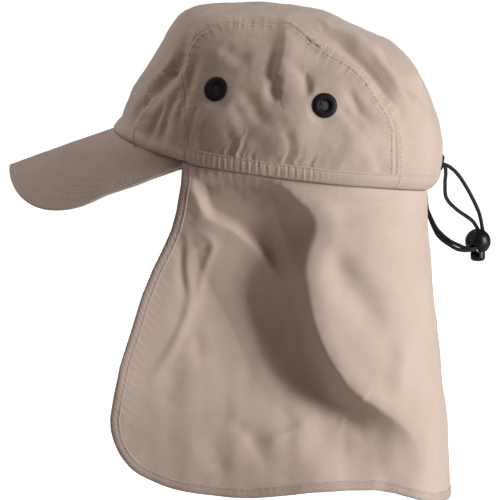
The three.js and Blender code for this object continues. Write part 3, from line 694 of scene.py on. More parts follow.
SIDE_CREASES = tuple(Crease(*row) for row in (
    (((27, 82), (40, 75), (50.5, 67), (57, 59.5), (63.5, 50.5), (69, 42.5), (74, 37)), 4.2, 5.0, 1.7),
    (((31, 84), (44, 77), (55, 70), (62, 62), (68.5, 53), (74, 45), (78, 39)), -4.6, 1.9, 6.0),
    (((53, 73), (63, 66), (71.5, 58), (79.5, 48.5), (86, 41)), 4.0, 4.0, 1.7),
    (((57, 76), (68, 68), (76, 60), (83.5, 50.5), (89.5, 42.5)), -4.2, 1.9, 6.0),
    (((36, 88), (48, 82), (60, 74)), 1.8, 4.0, 2.0),
    (((39, 90), (51, 84), (63, 77)), -1.8, 2.0, 5.0),
    (((70, 40), (76, 30), (80, 18)), 1.2, 4.0, 4.0),
    (((40, 66), (52, 56), (60, 46)), -1.2, 4.0, 4.0),
    (((6, 88), (5, 74), (1, 60), (2, 50)), -3.2, 4.0, 10.0),
    (((14, 44), (11, 24), (8, 6)), -2.6, 22.0, 12.0),
    (((1, 60), (-2, 51), (3, 46)), 3.0, 4.0, 3.5),
    (((-1, 75), (-4, 62), (-6, 54)), 1.4, 4.0, 5.0),
    (((-20, 51), (-12, 38), (-6, 28)), 1.3, 4.5, 4.5),
    (((-28, 46), (-20, 34), (-14, 22)), 1.0, 4.0, 4.0),
    (((-34, 76), (-24, 70), (-14, 68)), 0.9, 4.0, 5.0),
    (((14, 62), (18, 54), (17, 46)), 1.5, 4.0, 3.0),
    (((40, 53), (46, 44), (51, 35), (61, 29)), 1.8, 4.0, 3.0),
    (((34, 42), (44, 34), (52, 24)), 1.2, 3.5, 3.5),
    (((-30, 30), (-26, 20), (-27, 12)), 0.8, 3.0, 3.0),
    (((4, 30), (8, 20), (6, 10)), 0.9, 3.0, 3.5),
    (((54, 20), (60, 8), (63, -2)), 0.9, 3.0, 4.0),
    (((-46, 73), (-51, 56), (-55, 40), (-58, 24)), 1.95, 2.4, 3.2),
    (((-52, 82), (-58, 64), (-69, 50), (-80, 33)), 2.85, 2.2, 3.4),
    (((-60, 69), (-65, 59), (-76, 46)), -1.8, 2.4, 2.2),
    (((-55, 53), (-62, 41), (-67, 28), (-68, 17)), 2.55, 2.2, 3.0),
    (((-64, 43), (-71, 31), (-76, 19)), 2.25, 2.2, 2.8),
    (((-60, 47), (-66, 36), (-71, 24)), -1.5, 2.2, 2.2),
    (((-46, 45), (-49, 34), (-52, 21)), 1.65, 2.4, 2.6),
    (((-74, 43), (-82, 34), (-85, 24)), 2.1, 2.0, 2.6),
    (((-70, 47), (-78, 36), (-82, 26)), -1.5, 2.0, 2.0),
    (((-66, 57), (-60, 60)), 1.8, 2.4, 3.0),
    (((-40, 34), (-44, 24), (-42, 13)), 1.35, 3.0, 3.0),
))
"""Creases of the crown as the side view shows them."""


@dataclass(frozen=True)
class CreaseSide:
    """How strongly each side takes the creases of the side view, and how they are shifted."""

    share: float
    shift: float


CREASE_SIDES = {Side.LEFT: CreaseSide(1.0, 0.0), Side.RIGHT: CreaseSide(0.75, 4.0)}


@dataclass
class Crown:
    """The crown: two side panels, two front gussets and the centre panel that joins them."""

    cloth: float = 0.0014
    allowance: float = 0.0020
    overlap: float = 0.0007
    casing_cover: float = 0.0082
    gather_height: float = 0.030
    vent_opening: float = 0.0039
    cord_opening: float = 0.0031
    back_start: float = 0.07
    seams: SeamRelief = SeamRelief()
    gusset_seams: SeamRelief = SeamRelief(groove=0.15, lift=0.25, band=2.8, stitch=1.6, dip=0.3,
                                          pucker=0.16, period=4.5, reach=7.0)

    def __post_init__(self) -> None:
        """Lays out the seams in space."""
        side_view = seam_view(SIDE_SEAM)
        gusset_view = seam_view(GUSSET_SEAM)
        self.side_view = self.above_rim(side_view)
        self.gusset_view = self.above_rim(gusset_view)
        self.side_seam = {}
        self.gusset_seam = {}
        for side in Side:
            self.side_seam[side] = SeamLine(FORM.from_side(self.side_view, side))
            self.gusset_seam[side] = SeamLine(FORM.from_side(self.gusset_view, side))
        self.panels: list[Piece] = []

    @staticmethod
    def above_rim(line: Array) -> Array:
        """The part of a side-view line that lies above the rim."""
        return line[line[:, 1] > FORM.rim_height(line[:, 0]) + 1e-4]

    @staticmethod
    def section(line: Array, table: Array, first: int, last: int) -> Array:
        """The part of a dense seam line between two rows of its table."""
        scale = np.array([FORM.half_length, FORM.height])
        ends = []
        for row in (first, last):
            target = table[row] * scale
            ends.append(int(np.hypot(*(line - target).T).argmin()))
        start = 0 if first == 0 else ends[0]
        end = len(line) - 1 if last == len(table) - 1 else ends[1]
        return line[start:end + 1]

    def calm(self, points: Array) -> Array:
        """How far the cloth is from the eyelets, from 0 where it lies flat to 1."""
        least = np.ones(points.shape[:-1])
        for along, up in VENTS.values():
            y = along * FORM.half_length
            z = up * FORM.height
            gap = np.hypot(points[..., 1] - y, points[..., 2] - z)
            least = np.minimum(least, smooth((gap - 0.0065) / 0.006))
        back = np.hypot(points[..., 0], points[..., 2] - CORD_EYELET_UP * FORM.height)
        at_back = np.where(points[..., 1] > self.back_start, smooth((back - 0.004) / 0.006), 1.0)
        return np.minimum(least, at_back)

    def shaped(self, points: Array) -> Array:
        """Lays creases, seams, gathers and unevenness on a panel's smooth points."""
        normals = FORM.normals_at(points)
        left = points[..., 0] > 0
        height = np.zeros(points.shape[:-1])
        for side in Side:
            taste = CREASE_SIDES[side]
            view = points[..., 1:] + np.array([0.0, taste.shift * MM])
            depth = creased(SIDE_CREASES, view) * taste.share
            flatness = smooth((np.abs(points[..., 0]) / FORM.half_width - 0.12) / 0.3)
            here = left if side is Side.LEFT else ~left
            height -= np.where(here, depth * flatness, 0)
        height += 0.0007 * roughness_of(points, 0.022, 3.0)
        height += 0.0003 * roughness_of(points, 0.008, 11.0)
        height += self.gathers(points)
        height += self.front_lip(points)
        for side in Side:
            distance, along = self.side_seam[side].nearest(points)
            height += self.seams.height(distance, along, 1.0 + side.value)
            distance, along = self.gusset_seam[side].nearest(points)
            height += self.gusset_seams.height(distance, along, 5.0 + side.value)
        shaped = points + normals * (height * self.calm(points))[..., None]
        return self.turned_in(shaped, normals)

    def turned_in(self, points: Array, normals: Array) -> Array:
        """Adds rows round a panel where its border laps the next one and turns in."""
        outward = np.zeros_like(points)
        outward[0] = unit(points[0] - points[1])
        outward[-1] = unit(points[-1] - points[-2])
        outward[:, 0] = unit(points[:, 0] - points[:, 1])
        outward[:, -1] = unit(points[:, -1] - points[:, -2])
        lap = outward * self.overlap
        for depth in (self.overlap * 0.6, self.allowance):
            grids = (points, normals, lap - normals * depth)
            points, normals, around = [np.pad(grid, ((1, 1), (1, 1), (0, 0)), mode="edge") for grid in grids]
            around[1:-1, 1:-1] = 0
            points = points + around
            lap = np.zeros_like(points)
        return points

    def front_lip(self, points: Array) -> Array:
        """Height of the rolled edge where the crown turns in over the peak."""
        above = points[..., 2] - FORM.rim_height(points[..., 1])
        ahead = smooth((FORM.casing_end + 0.02 - points[..., 1] / FORM.half_length) / 0.06)
        return (0.0011 * hump(above - 0.0042, 0.0026) - 0.0020 * hump(above, 0.0011)) * ahead

    def gathers(self, points: Array) -> Array:
        """Height of the gathers that rise from the casing."""
        above = points[..., 2] - FORM.rim_height(points[..., 1]) - self.casing_cover
        along = np.arctan2(points[..., 0] / FORM.half_width, points[..., 1] / FORM.half_length)
        run = along * 0.5 * (FORM.half_width + FORM.half_length)
        place = run / 0.0052
        lean = place + above / 0.011 + 0.5 * waver(above / 0.009, 1.0)
        reach = self.gather_height * (0.42 + 0.40 * waver(lean * 0.45, 2.0))
        fade = (1 - smooth(above / np.maximum(reach, 0.004))) * smooth(0.4 + above / 0.004)
        clump = 0.25 + 0.75 * smooth(0.5 + 0.9 * waver(lean * 0.31, 12.0))
        held = smooth((0.50 - np.abs(points[..., 1] / FORM.half_length + 0.10)) / 0.25)
        behind = smooth((points[..., 1] / FORM.half_length - FORM.casing_end + 0.02) / 0.05)
        ripple = waver(lean * math.pi * 0.8, 7.0) * clump
        sides = smooth((0.74 - np.abs(points[..., 1] / FORM.half_length + 0.02)) / 0.3)
        bulge = 0.0026 * hump(above - 0.018, 0.0095) * sides
        return bulge + 0.0005 * ripple * fade * (0.2 + 0.8 * held) * behind

    def side_panel(self, side: Side) -> Array:
        """Grid of one side panel's smooth points."""
        columns = 150
        rows = 120
        front = self.section(self.side_view, SIDE_SEAM, 0, SIDE_SEAM_FRONT_CORNER)
        top = self.section(self.side_view, SIDE_SEAM, SIDE_SEAM_FRONT_CORNER, SIDE_SEAM_BACK_CORNER)
        back = self.section(self.side_view, SIDE_SEAM, SIDE_SEAM_BACK_CORNER, len(SIDE_SEAM) - 1)[::-1]
        cover = self.casing_cover
        front = front[front[:, 1] > FORM.rim_height(front[:, 0]) + cover]
        back = back[back[:, 1] > FORM.rim_height(back[:, 0]) + cover]
        y = np.linspace(front[0, 0], back[0, 0], 200)
        bottom = np.stack([y, FORM.rim_height(y) + cover], axis=1)
        view = coons_patch(spread(front, rows), spread(back, rows), spread(bottom, columns),
                           spread(top, columns))
        return FORM.from_side(view, side)

    def gusset(self, side: Side) -> Array:
        """Grid of one front gusset's smooth points."""
        columns = 70
        rows = 80
        front = self.section(self.gusset_view, GUSSET_SEAM, 0, GUSSET_CORNER)
        top = self.section(self.gusset_view, GUSSET_SEAM, GUSSET_CORNER, len(GUSSET_SEAM) - 1)
        back = self.section(self.side_view, SIDE_SEAM, 0, SIDE_SEAM_JOIN)
        back = np.vstack([back, top[-1]])
        y = np.linspace(front[0, 0], back[0, 0], 120)
        bottom = np.stack([y, FORM.rim_height(y) + 0.0002], axis=1)
        view = coons_patch(spread(front, rows), spread(back, rows), spread(bottom, columns),
                           spread(top, columns))
        return FORM.from_side(view, side)

    def centre_panel(self) -> Array:
        """Grid of the centre panel's smooth points, from the front rim over the top to the back."""
        rows = 320
        columns = 126
        behind = self.section(self.side_view, SIDE_SEAM, SIDE_SEAM_JOIN, len(SIDE_SEAM) - 1)
        behind = behind[(behind[:, 0] < 0) | (behind[:, 1] > FORM.rim_height(behind[:, 0])
                                              + self.casing_cover)]
        edge_view = np.vstack([self.gusset_view, behind])
        edge = spread(FORM.from_side(edge_view, Side.LEFT), rows)
        centre = np.array([-0.010, 0.018])
        across = np.linspace(-1, 1, columns)
        x = edge[:, [0]] * across[None]
        angle = np.unwrap(np.arctan2(edge[:, 2] - centre[1], edge[:, 1] - centre[0]))
        along = np.linspace(0, 1, rows)[:, None]
        front_turn = self.rim_turn(x[0], centre, -1, 0.0) - angle[0]
        back_turn = self.rim_turn(x[-1], centre, 1, self.casing_cover) - angle[-1]
        front_turn -= 2 * math.pi * np.rint(front_turn / (2 * math.pi))
        back_turn -= 2 * math.pi * np.rint(back_turn / (2 * math.pi))
        turn = (angle[:, None] + front_turn * (1 - smooth(along / 0.25))
                + back_turn * smooth((along - 0.7) / 0.3))
        start = np.stack([x, np.full_like(x, centre[0]), np.full_like(x, centre[1])], axis=-1)
        direction = np.stack([np.zeros_like(x), np.cos(turn), np.sin(turn)], axis=-1)
        return FORM.cast(start, direction)

    @staticmethod
    def rim_turn(x: Array, centre: Array, end: int, cover: float) -> Array:
        """The angle from a centre of the side view to the rim, at the front (-1) or back (1)."""
        angles = np.linspace(0.0, math.pi, 2000)
        rim = FORM.above_rim(angles, cover, 0.0)
        part = rim[rim[:, 1] * end > 0]
        order = part[:, 0].argsort()
        y = np.interp(np.abs(x), part[order, 0], part[order, 1])
        z = np.interp(np.abs(x), part[order, 0], part[order, 2])
        return np.arctan2(z - centre[1], y - centre[0])

    def build(self, material: Material) -> None:
        """Builds and dresses all the crown's panels."""
        for side in Side:
            self.add_panel(f"crown_side_{side.word}", self.side_panel(side), material)
            self.add_panel(f"crown_gusset_{side.word}", self.gusset(side), material)
        self.add_panel("crown_centre_panel", self.centre_panel(), material)

    def open_holes(self, panel: Piece) -> None:
        """Opens the cloth behind each eyelet."""
        bm = bmesh.new()
        bm.from_mesh(panel.data)
        hidden = []
        for face in bm.faces:
            x, y, z = face.calc_center_median()
            for along, up in VENTS.values():
                if math.hypot(y - along * FORM.half_length, z - up * FORM.height) < self.vent_opening:
                    hidden.append(face)
            if y > self.back_start and math.hypot(x, z - CORD_EYELET_UP * FORM.height) < self.cord_opening:
                hidden.append(face)
        bmesh.ops.delete(bm, geom=hidden, context="FACES")
        bmesh.ops.remove_doubles(bm, verts=bm.verts, dist=WELD)
        bm.to_mesh(panel.data)
        bm.free()

    def add_panel(self, node: str, points: Array, material: Material) -> None:
        """Builds one panel in place of its solid."""
        panel = cloth_grid(f"{node}_cloth", self.shaped(points), INSIDE_CROWN)
        self.open_holes(panel)
        self.panels.append(panel)
        add_wall(panel, self.cloth)
        dress(panel, material, node)


@dataclass
class Casing:
    """The gathered tunnel round the back of the rim, open at the peak."""

    height: float = 0.009
    proud: float = 0.0010
    depth: float = 0.0020
    gather: float = 0.00024
    gather_spacing: float = 0.0034
    join: float = 0.069
    join_step: float = 0.0005
    stitch_share: float = 0.86
    columns: int = 760

    def section(self, angle: Array) -> tuple[Array, Array]:
        """The casing's section at each place round the rim.

        Args:
            angle: Where, round the rim.

        Returns:
            Heights over the rim and distances out from the crown, one row per corner.
        """
        shares = np.array([
            (0.00, -1.0), (0.00, -0.3), (0.015, 0.35), (0.07, 0.85), (0.18, 1.05), (0.34, 1.2),
            (0.50, 1.25), (0.66, 1.15), (0.78, 0.95), (0.85, 0.62), (0.91, 0.80), (0.97, 0.62),
            (1.00, 0.15), (1.00, -0.6), (0.98, -1.0), (0.50, -1.0), (0.00, -1.0),
        ])
        run = angle * 0.5 * (FORM.half_width + FORM.half_length)
        wave = waver(run / self.gather_spacing * math.pi, 4.0)
        place = FORM.rim_points(angle)[:, 1] / FORM.half_length
        tight = 0.22 + 0.78 * smooth((0.48 - np.abs(place + 0.13)) / 0.2)
        ridge = self.gather * wave * tight
        above = np.repeat(shares[:, [0]], len(angle), axis=1) * self.height
        out = np.where(shares[:, [1]] > -0.5, shares[:, [1]] * self.proud, shares[:, [1]] * self.depth)
        face = np.clip(shares[:, [1]], 0, 1) * np.sin(np.clip(shares[:, [0]], 0, 1) * math.pi) ** 0.4
        out = out + ridge[None] * face
        lean = 0.0004 * waver(run / self.gather_spacing * 2.1, 9.0) * tight
        above = above + lean[None] * np.sin(shares[:, [0]] * math.pi) * (shares[:, [1]] > 0)
        return above, out

    def join_relief(self, angle: Array) -> Array:
        """The overlap where the casing's two lengths are joined, behind each ear."""
        behind = FORM.rim_points(angle)[:, 1] - self.join
        return self.join_step * smooth(behind / 0.0006) * np.exp(-np.clip(behind / 0.02, 0, 9))

    def build(self, material: Material) -> Piece:
        """Builds and dresses the casing."""
        end = FORM.casing_angle
        angle = np.linspace(-end, end, self.columns)
        above, out = self.section(angle)
        out = out + self.join_relief(angle)[None] * (out > 0)
        points = FORM.above_rim(angle[None], above, out)
        middle = FORM.above_rim(angle, self.height / 2, -0.0005)
        casing = cloth_grid("rim_casing_cloth", points, middle[None])
        seal(casing)
        dress(casing, material, "rim_casing")
        return casing

    def top_line(self, share: float) -> Array:
        """A line along the casing's face at a share of its height."""
        end = FORM.casing_angle
        angle = np.linspace(-end, end, 900)
        return FORM.above_rim(angle, self.height * share, self.proud)


PEAK_SIDE = np.array([(-129.0, -20.0), (-108.0, -13.8), (-84.2, -5.8), (-70.0, 0.2), (-55.6, 6.0)]) * MM
"""The side edges of the peak: place along the cap, and height."""


@dataclass
class Peak:
    """The stiff peak, its covering stitched in rows that follow its edge."""

    reach: float = 0.061
    half_width: float = 0.0695
    fall: float = math.radians(20.2)
    bow: float = 0.092
    thickness: float = 0.0018
    squareness: float = 3.1
    rear_lift: float = 0.0002
    tuck: float = 0.0042
    rows: int = 90
    columns: int = 260
    stitch_rows: tuple[float, ...] = (0.88, 0.79, 0.70, 0.61)
    stitch_dip: float = 0.00005

    def height_at(self, x: Array, y: Array) -> Array:
        """Height of the upper face: a straight fall from the rim, bowed across."""
        front = CROWN_LEVELS[0, 1] * FORM.half_length
        ridge = FORM.rim_height(front) + math.tan(self.fall) * (y - front)
        across = np.minimum(np.abs(x), self.bow * 0.97)
        return ridge - (self.bow - np.sqrt(self.bow**2 - across**2))

    def borders(self) -> tuple[Array, Array]:
        """The peak's rear line along the rim and its outer edge, from the left to the right."""
        first = FORM.casing_angle + 0.004
        angle = np.linspace(first, 2 * math.pi - first, 400)
        rear = FORM.above_rim(angle, self.rear_lift, -self.tuck)
        widest = CROWN_LEVELS[0, 1] * FORM.half_length
        share = np.arange(24)[:, None] / 24
        corner = rear[0, :2] + np.array([0.0012, 0.0])
        wing = corner * (1 - share) + np.array([self.half_width, widest]) * share
        turn = np.linspace(0, math.pi, 300)
        power = 2 / self.squareness
        x = self.half_width * np.sign(np.cos(turn)) * np.abs(np.cos(turn)) ** power
        y = widest - self.reach * np.abs(np.sin(turn)) ** power
        level = np.vstack([wing, np.stack([x, y], axis=1), (wing * np.array([-1.0, 1.0]))[::-1]])
        outer = np.column_stack([level, self.height_at(level[:, 0], level[:, 1])])
        edge = np.interp(outer[:, 1], PEAK_SIDE[:, 0], PEAK_SIDE[:, 1])
        near = smooth((outer[:, 1] + 0.118) / 0.02)
        outer[:, 2] += (edge - outer[:, 2]) * near
        return rear, outer

    def surface(self) -> Array:
        """Grid of the peak's upper face, from the rim outwards."""
        rear, outer = self.borders()
        rear = spread(rear, self.columns)
        outer = spread(outer, self.columns)
        share = (1 - (1 - np.linspace(0, 1, self.rows)) ** 1.15)[:, None, None]
        points = rear[None] * (1 - share) + outer[None] * share
        share = share[..., 0]
        lift = (rear[:, 2] - self.height_at(rear[:, 0], rear[:, 1]))[None] * (1 - share) ** 2
        edge = (outer[:, 2] - self.height_at(outer[:, 0], outer[:, 1]))[None] * share**2
        points[..., 2] = self.height_at(points[..., 0], points[..., 1]) + lift + edge
        return points

    def relief(self, points: Array) -> Array:
        """Lays the dips of the stitch rows and a little unevenness on the upper face."""
        normals = outward_normals(points, BELOW_PEAK)
        depth = np.linalg.norm(points[-1] - points[0], axis=1)[None]
        share = np.linalg.norm(points - points[0], axis=2) / depth
        height = 0.00025 * roughness_of(points, 0.020, 5.0)
        for row in self.stitch_rows:
            height -= self.stitch_dip * hump((share - row) * depth, 0.0007)
        return points + normals * height[..., None]

    def row_line(self, share: float) -> Array:
        """The line of one row of stitches on the upper face."""
        rear, outer = self.borders()
        rear = spread(rear, 500)
        outer = spread(outer, 500)
        line = rear * (1 - share) + outer * share
        line[:, 2] = self.height_at(line[:, 0], line[:, 1]) + 0.001
        start = int(len(line) * 0.03)
        return line[start:-start]

    def build(self, material: Material) -> Piece:
        """Builds and dresses the peak."""
        points = self.relief(self.surface())
        peak = cloth_grid("peak_cover", points, BELOW_PEAK)
        add_wall(peak, self.thickness)
        add_bevel(peak, 0.0009, 3, 50)
        dress(peak, material, "peak")
        return peak


MAIN_FOLD = np.array([
    # height, the ridge's place, depth, how fast it falls, how far it takes to come back, and the
    # depth that it comes back to
    (4.0, -2.0, 0.0, 14.0, 30.0, 0.0),
    (-9.9, 12.0, 3.0, 20.0, 40.0, 1.5),
    (-22.0, 24.0, 8.0, 30.0, 44.0, 4.0),
    (-32.0, 26.5, 12.0, 34.0, 44.0, 6.0),
    (-50.4, 21.0, 18.0, 26.0, 42.0, 11.0),
    (-66.7, 20.0, 25.0, 20.0, 40.0, 17.0),
    (-86.6, 22.2, 28.5, 16.0, 34.0, 19.0),
    (-103.0, 28.2, 28.5, 16.0, 32.0, 19.0),
    (-116.9, 36.6, 27.0, 18.0, 32.0, 18.0),
    (-129.0, 46.2, 24.0, 20.0, 32.0, 16.0),
    (-139.2, 60.6, 19.0, 24.0, 32.0, 13.0),
    (-148.9, 72.6, 15.0, 26.0, 34.0, 10.5),
    (-161.0, 82.2, 11.0, 26.0, 36.0, 8.0),
    (-175.5, 85.2, 6.0, 24.0, 40.0, 4.0),
    (-190.0, 83.0, 4.0, 20.0, 40.0, 2.5),
    (-215.0, 80.0, 3.0, 20.0, 40.0, 2.5),
])
"""The flap's deep fold, in millimetres of the side view."""

FRONT_EDGE = np.array([
    (5.8, -55.2), (-5.6, -56.4), (-21.3, -59.7), (-32.4, -63.0), (-43.5, -67.8), (-56.5, -73.8),
    (-70.5, -79.2), (-91.5, -85.2), (-111.9, -91.8), (-128.9, -95.4), (-142.0, -97.6),
]) * MM
"""The flap's front edge: height, and place along the cap."""

HEM_EDGE = np.array([
    (105.0, -202.6), (103.8, -202.0), (92.4, -199.5), (72.6, -190.8), (61.2, -188.0), (43.8, -187.0),
    (21.0, -187.3), (6.6, -188.8), (-13.2, -190.4), (-27.0, -189.9), (-45.6, -187.6),
]) * MM
"""The flap's hem from the middle of the back: place along the cap, and height."""

FRONT_CORNER = np.array([
    (-45.6, -187.6), (-60.0, -184.8), (-71.4, -180.6), (-82.2, -175.0), (-88.8, -168.6),
    (-93.6, -161.0), (-97.0, -151.0), (-97.6, -142.0),
]) * MM
"""The flap's rounded front corner: place along the cap, and height."""

UPPER_LEDGE = ((-52, 2), (-47.4, -12.3), (-41.4, -24.4), (-25.8, -32.2), (-7.8, -48.6), (3, -64), (9, -80))
"""The crisp edge above which the flap falls back under the casing, in millimetres of the side view."""

FLAP_CREASES = tuple(Crease(*row) for row in (
    (((-13.8, -2.8), (-4, -20), (4.8, -37), (10, -50), (12.6, -59)), -2.4, 5.0, 4.0),
    (((-54, -36), (-54, -54.7), (-51.6, -75.4), (-60.6, -99.6), (-73.8, -120)), -1.1, 2.4, 3.4),
    (((-57, -36), (-57, -52), (-55, -72)), 1.0, 3.0, 2.4),
    (((-46.2, -33.5), (-38.4, -41.4), (-43.8, -57.2), (-47.4, -78.4)), -0.9, 2.4, 2.4),
    (((-50, -45), (-44, -44), (-40, -43)), 0.7, 2.0, 2.0),
    (((-47.4, -91.7), (-45, -112)), 0.7, 3.5, 3.5),
    (((-60, -112), (-68, -138)), 1.0, 8.0, 7.0),
    (((-13.8, -146.9), (-10.8, -158), (-8.4, -172)), 1.5, 5.0, 6.0),
    (((-26.4, -143.8), (-18, -153), (-10.8, -162.6)), 0.9, 4.0, 4.0),
    (((-8.4, -160), (6, -153), (22.8, -146.9)), -0.8, 3.0, 3.0),
    (((-40, -150), (-36, -166), (-34, -180)), 0.7, 6.0, 6.0),
    (((12, -168), (14, -186)), 0.7, 6.0, 6.0),
    (((38, -160), (42, -174), (44, -190)), 0.8, 7.0, 8.0),
    (((28.2, -41.4), (50.4, -73.5), (65.4, -97.8)), 4.6, 11.0, 9.0),
    (((14, -150), (44, -166), (66, -184)), 4.2, 13.0, 12.0),
    (((77.4, -100.8), (73.8, -119), (75.6, -134)), -1.7, 5.0, 6.0),
    (((57.6, -119), (48, -138), (38.4, -158.4)), -0.45, 1.6, 1.6),
    (((44.4, -120.9), (52, -136), (59.4, -152.4)), -0.4, 1.6, 1.6),
    (((30.6, -123.3), (38, -136), (45.6, -149.4)), -0.4, 1.5, 1.5),
    (((25, -134), (33, -127), (41, -117)), -0.4, 1.5, 1.5),
    (((30, -20), (56, -18.5), (86, -17)), 1.2, 4.0, 3.0),
    (((36, -30), (60, -26), (84, -27)), -0.9, 4.0, 5.0),
    (((86, -18), (86.5, -32), (84, -48)), 1.8, 4.0, 4.0),
    (((64, -88), (72, -120)), 1.0, 9.0, 9.0),
    (((90, -70), (92, -110)), -0.8, 7.0, 7.0),
    (((-54, 4), (-46, -6), (-38, -10)), 1.0, 3.0, 3.0),
    (((-36, -3), (-26, -9), (-18, -16)), 1.1, 3.0, 3.0),
    (((-22, -3), (-12, -10), (-6, -20)), 1.0, 3.0, 4.0),
    (((-6, -5), (2, -12), (6, -24)), 0.9, 3.0, 4.0),
))
"""The flap's smaller folds as the side view shows them, in millimetres."""


@dataclass
class NeckFlap:
    """The neck flap, hung from under the casing, with its hem and its folds."""

    cloth: float = 0.0011
    tuck: float = 0.0016
    half_width: float = 0.086
    corner_half_width: float = 0.087
    corner_reach: float = 0.098
    back_reach: float = 0.105
    hem_cloth: float = 0.00035
    hem_stitch: float = 0.0039
    far_pull: float = 0.009
    flat_size: tuple[float, float] = (0.533, 0.205)
    flat_area: float = 0.088
    rows: int = 150
    columns: int = 321
    folds: Array = field(default_factory=lambda: through_rows(MAIN_FOLD[::-1], 12))

    def top_line(self) -> Array:
        """Half of the flap's upper edge, from the middle of the back to its end."""
        angle = np.linspace(0, FORM.casing_angle, 240)
        return FORM.above_rim(angle, -0.0003, -self.tuck)

    def hem_line(self) -> Array:
        """Half of the hem, from the middle of the back round the side and up the front corner."""
        turn = np.linspace(0, math.pi / 2, 90)
        x = self.half_width * np.sin(turn) ** (2 / 2.3)
        y = self.back_reach * np.cos(turn) ** (2 / 2.3)
        order = HEM_EDGE[:, 0].argsort()
        height = HEM_EDGE[order]
        back = np.stack([x, y, np.interp(y, height[:, 0], height[:, 1])], axis=1)
        y = np.linspace(0, FRONT_CORNER[0, 0], 24)[1:-1]
        side = np.stack([self.side_width(y), y, np.interp(y, height[:, 0], height[:, 1])], axis=1)
        turn = through_rows(FRONT_CORNER, 12)
        corner = np.column_stack([self.side_width(turn[:, 0]), turn])
        return np.vstack([back, side, corner])

    def side_width(self, y: Array) -> Array:
        """Half the flap's width ahead of its middle."""
        share = (y / self.corner_reach) ** 2
        return self.half_width * (1 - share) + self.corner_half_width * share

    def smooth_points(self) -> Array:
        """Grid of the flap's form without its folds, from the casing to the hem."""
        half = self.columns // 2 + 1
        top = spread(self.top_line(), half)
        hem = spread(self.hem_line(), half)
        down = np.linspace(0, 1, self.rows)[:, None]
        sway = 0.75 * smooth(down) + 0.25 * down
        left = np.empty((self.rows, half, 3))
        left[..., :2] = top[None, :, :2] * (1 - sway[..., None]) + hem[None, :, :2] * sway[..., None]
        left[..., 2] = top[None, :, 2] * (1 - down) + hem[None, :, 2] * down
        front = np.interp(-left[:, -1, 2], -FRONT_EDGE[:, 0], FRONT_EDGE[:, 1])
        share = np.linspace(0, 1, half)[None] ** 3
        left[..., 1] += (front - left[:, -1, 1])[:, None] * share
        right = left[:, :0:-1] * np.array([-1.0, 1.0, 1.0])
        ahead = smooth((-0.010 - right[..., 1]) / 0.07)
        right[..., 1] += self.far_pull * ahead * smooth(down / 0.2)
        return np.concatenate([right, left], axis=1)

    def fold_depth(self, view: Array) -> Array:
        """Depth of the flap's deep fold and ledge at points of the side view, in metres."""
        y = view[..., 0] / MM
        z = view[..., 1] / MM
        read = [np.interp(z, self.folds[:, 0], self.folds[:, k]) for k in range(1, 6)]
        ridge, depth, wall, back, rest = read
        ahead = ridge - y
        ease = 1.3 + 1.2 * smooth((z + 95.0) / 40.0)
        fall = np.sin(np.clip(ahead / wall, 0, 1) * math.pi / 2) ** ease
        recover = (depth - rest) * smooth((ahead - wall) / back)
        front = ridge - wall - back
        slope = rest * np.clip((front - y) / (front + 92.0), 0, 1)
        crest = 1.5 * hump(ahead + 6.0, 9.0) * smooth(depth / 8.0)
        ledge = self.ledge_depth(view) * (1 - smooth((y - ridge + 16.0) / 14.0))
        return MM * (depth * fall - recover - slope - crest + ledge)

    @staticmethod
    def ledge_depth(view: Array) -> Array:
        """How far the cloth falls back above the ledge, in millimetres."""
        line = through_rows(np.array(UPPER_LEDGE, float), 8)
        distance, side, share = against_line(line, view / MM)
        above = distance * side
        reach = smooth((1 - share) / 0.35) * smooth(share / 0.12)
        return 8.0 * smooth((above + 0.5) / 5.5) * reach - 0.4 * hump(above + 3.0, 4.0) * reach

    def shaped(self, points: Array) -> Array:
        """Lays the folds, gathers and unevenness on the flap."""
        normals = outward_normals(points, INSIDE_FLAP)
        normals[..., 2] *= 0.4
        normals = unit(normals)
        view = points[..., 1:]
        mirror = np.stack([view[..., 0] * 0.94 + 0.006, view[..., 1] - 0.008], axis=-1)
        left = self.fold_depth(view) + creased(FLAP_CREASES, view)
        right = 0.62 * self.fold_depth(mirror) + 0.8 * creased(FLAP_CREASES, mirror)
        depth = np.where(points[..., 0] > 0, left, right)
        drop = FORM.rim_height(points[..., 1]) - points[..., 2]
        sideways = smooth((np.abs(points[..., 0]) / FORM.half_width - 0.1) / 0.45)
        depth = depth * sideways * smooth(drop / 0.010)
        angle = np.arctan2(points[..., 0] / self.half_width, points[..., 1] / self.back_reach)
        run = angle * 0.095
        held = smooth((0.40 - np.abs(points[..., 1] / FORM.half_length + 0.28)) / 0.25)
        fade = (1 - smooth(drop / 0.020)) * smooth(drop / 0.003)
        gather = 0.0006 * waver(run / 0.0055 * math.pi, 3.0) * fade * (0.15 + 0.85 * held)
        sway = 0.0003 * waver(run / 0.034 * math.pi, 8.0) * smooth((drop - 0.06) / 0.1)
        fine = 0.0006 * roughness_of(points, 0.028, 21.0) + 0.00015 * roughness_of(points, 0.009, 31.0)
        height = gather + sway + fine * smooth(drop / 0.01) - depth
        return points + normals * height[..., None]

    def border(self, points: Array) -> Array:
        """The flap's free edge: down one front, along the hem and up the other front."""
        return np.vstack([points[:, 0], points[-1, 1:-1], points[::-1, -1]])

    def pucker(self, points: Array) -> Array:
        """Pulls the cloth into slanted puckers along its free edge."""
        edge = SeamLine(self.border(points)[4:-4])
        distance, along = edge.nearest(points, 0.02)
        normals = outward_normals(points, INSIDE_FLAP)
        slant = (along + 0.6 * distance) / 0.0052
        window = smooth((distance - 0.001) / 0.004) * (1 - smooth((distance - 0.006) / 0.012))
        height = 0.00014 * waver(slant * math.pi, 6.0) * window
        return points + normals * height[..., None]

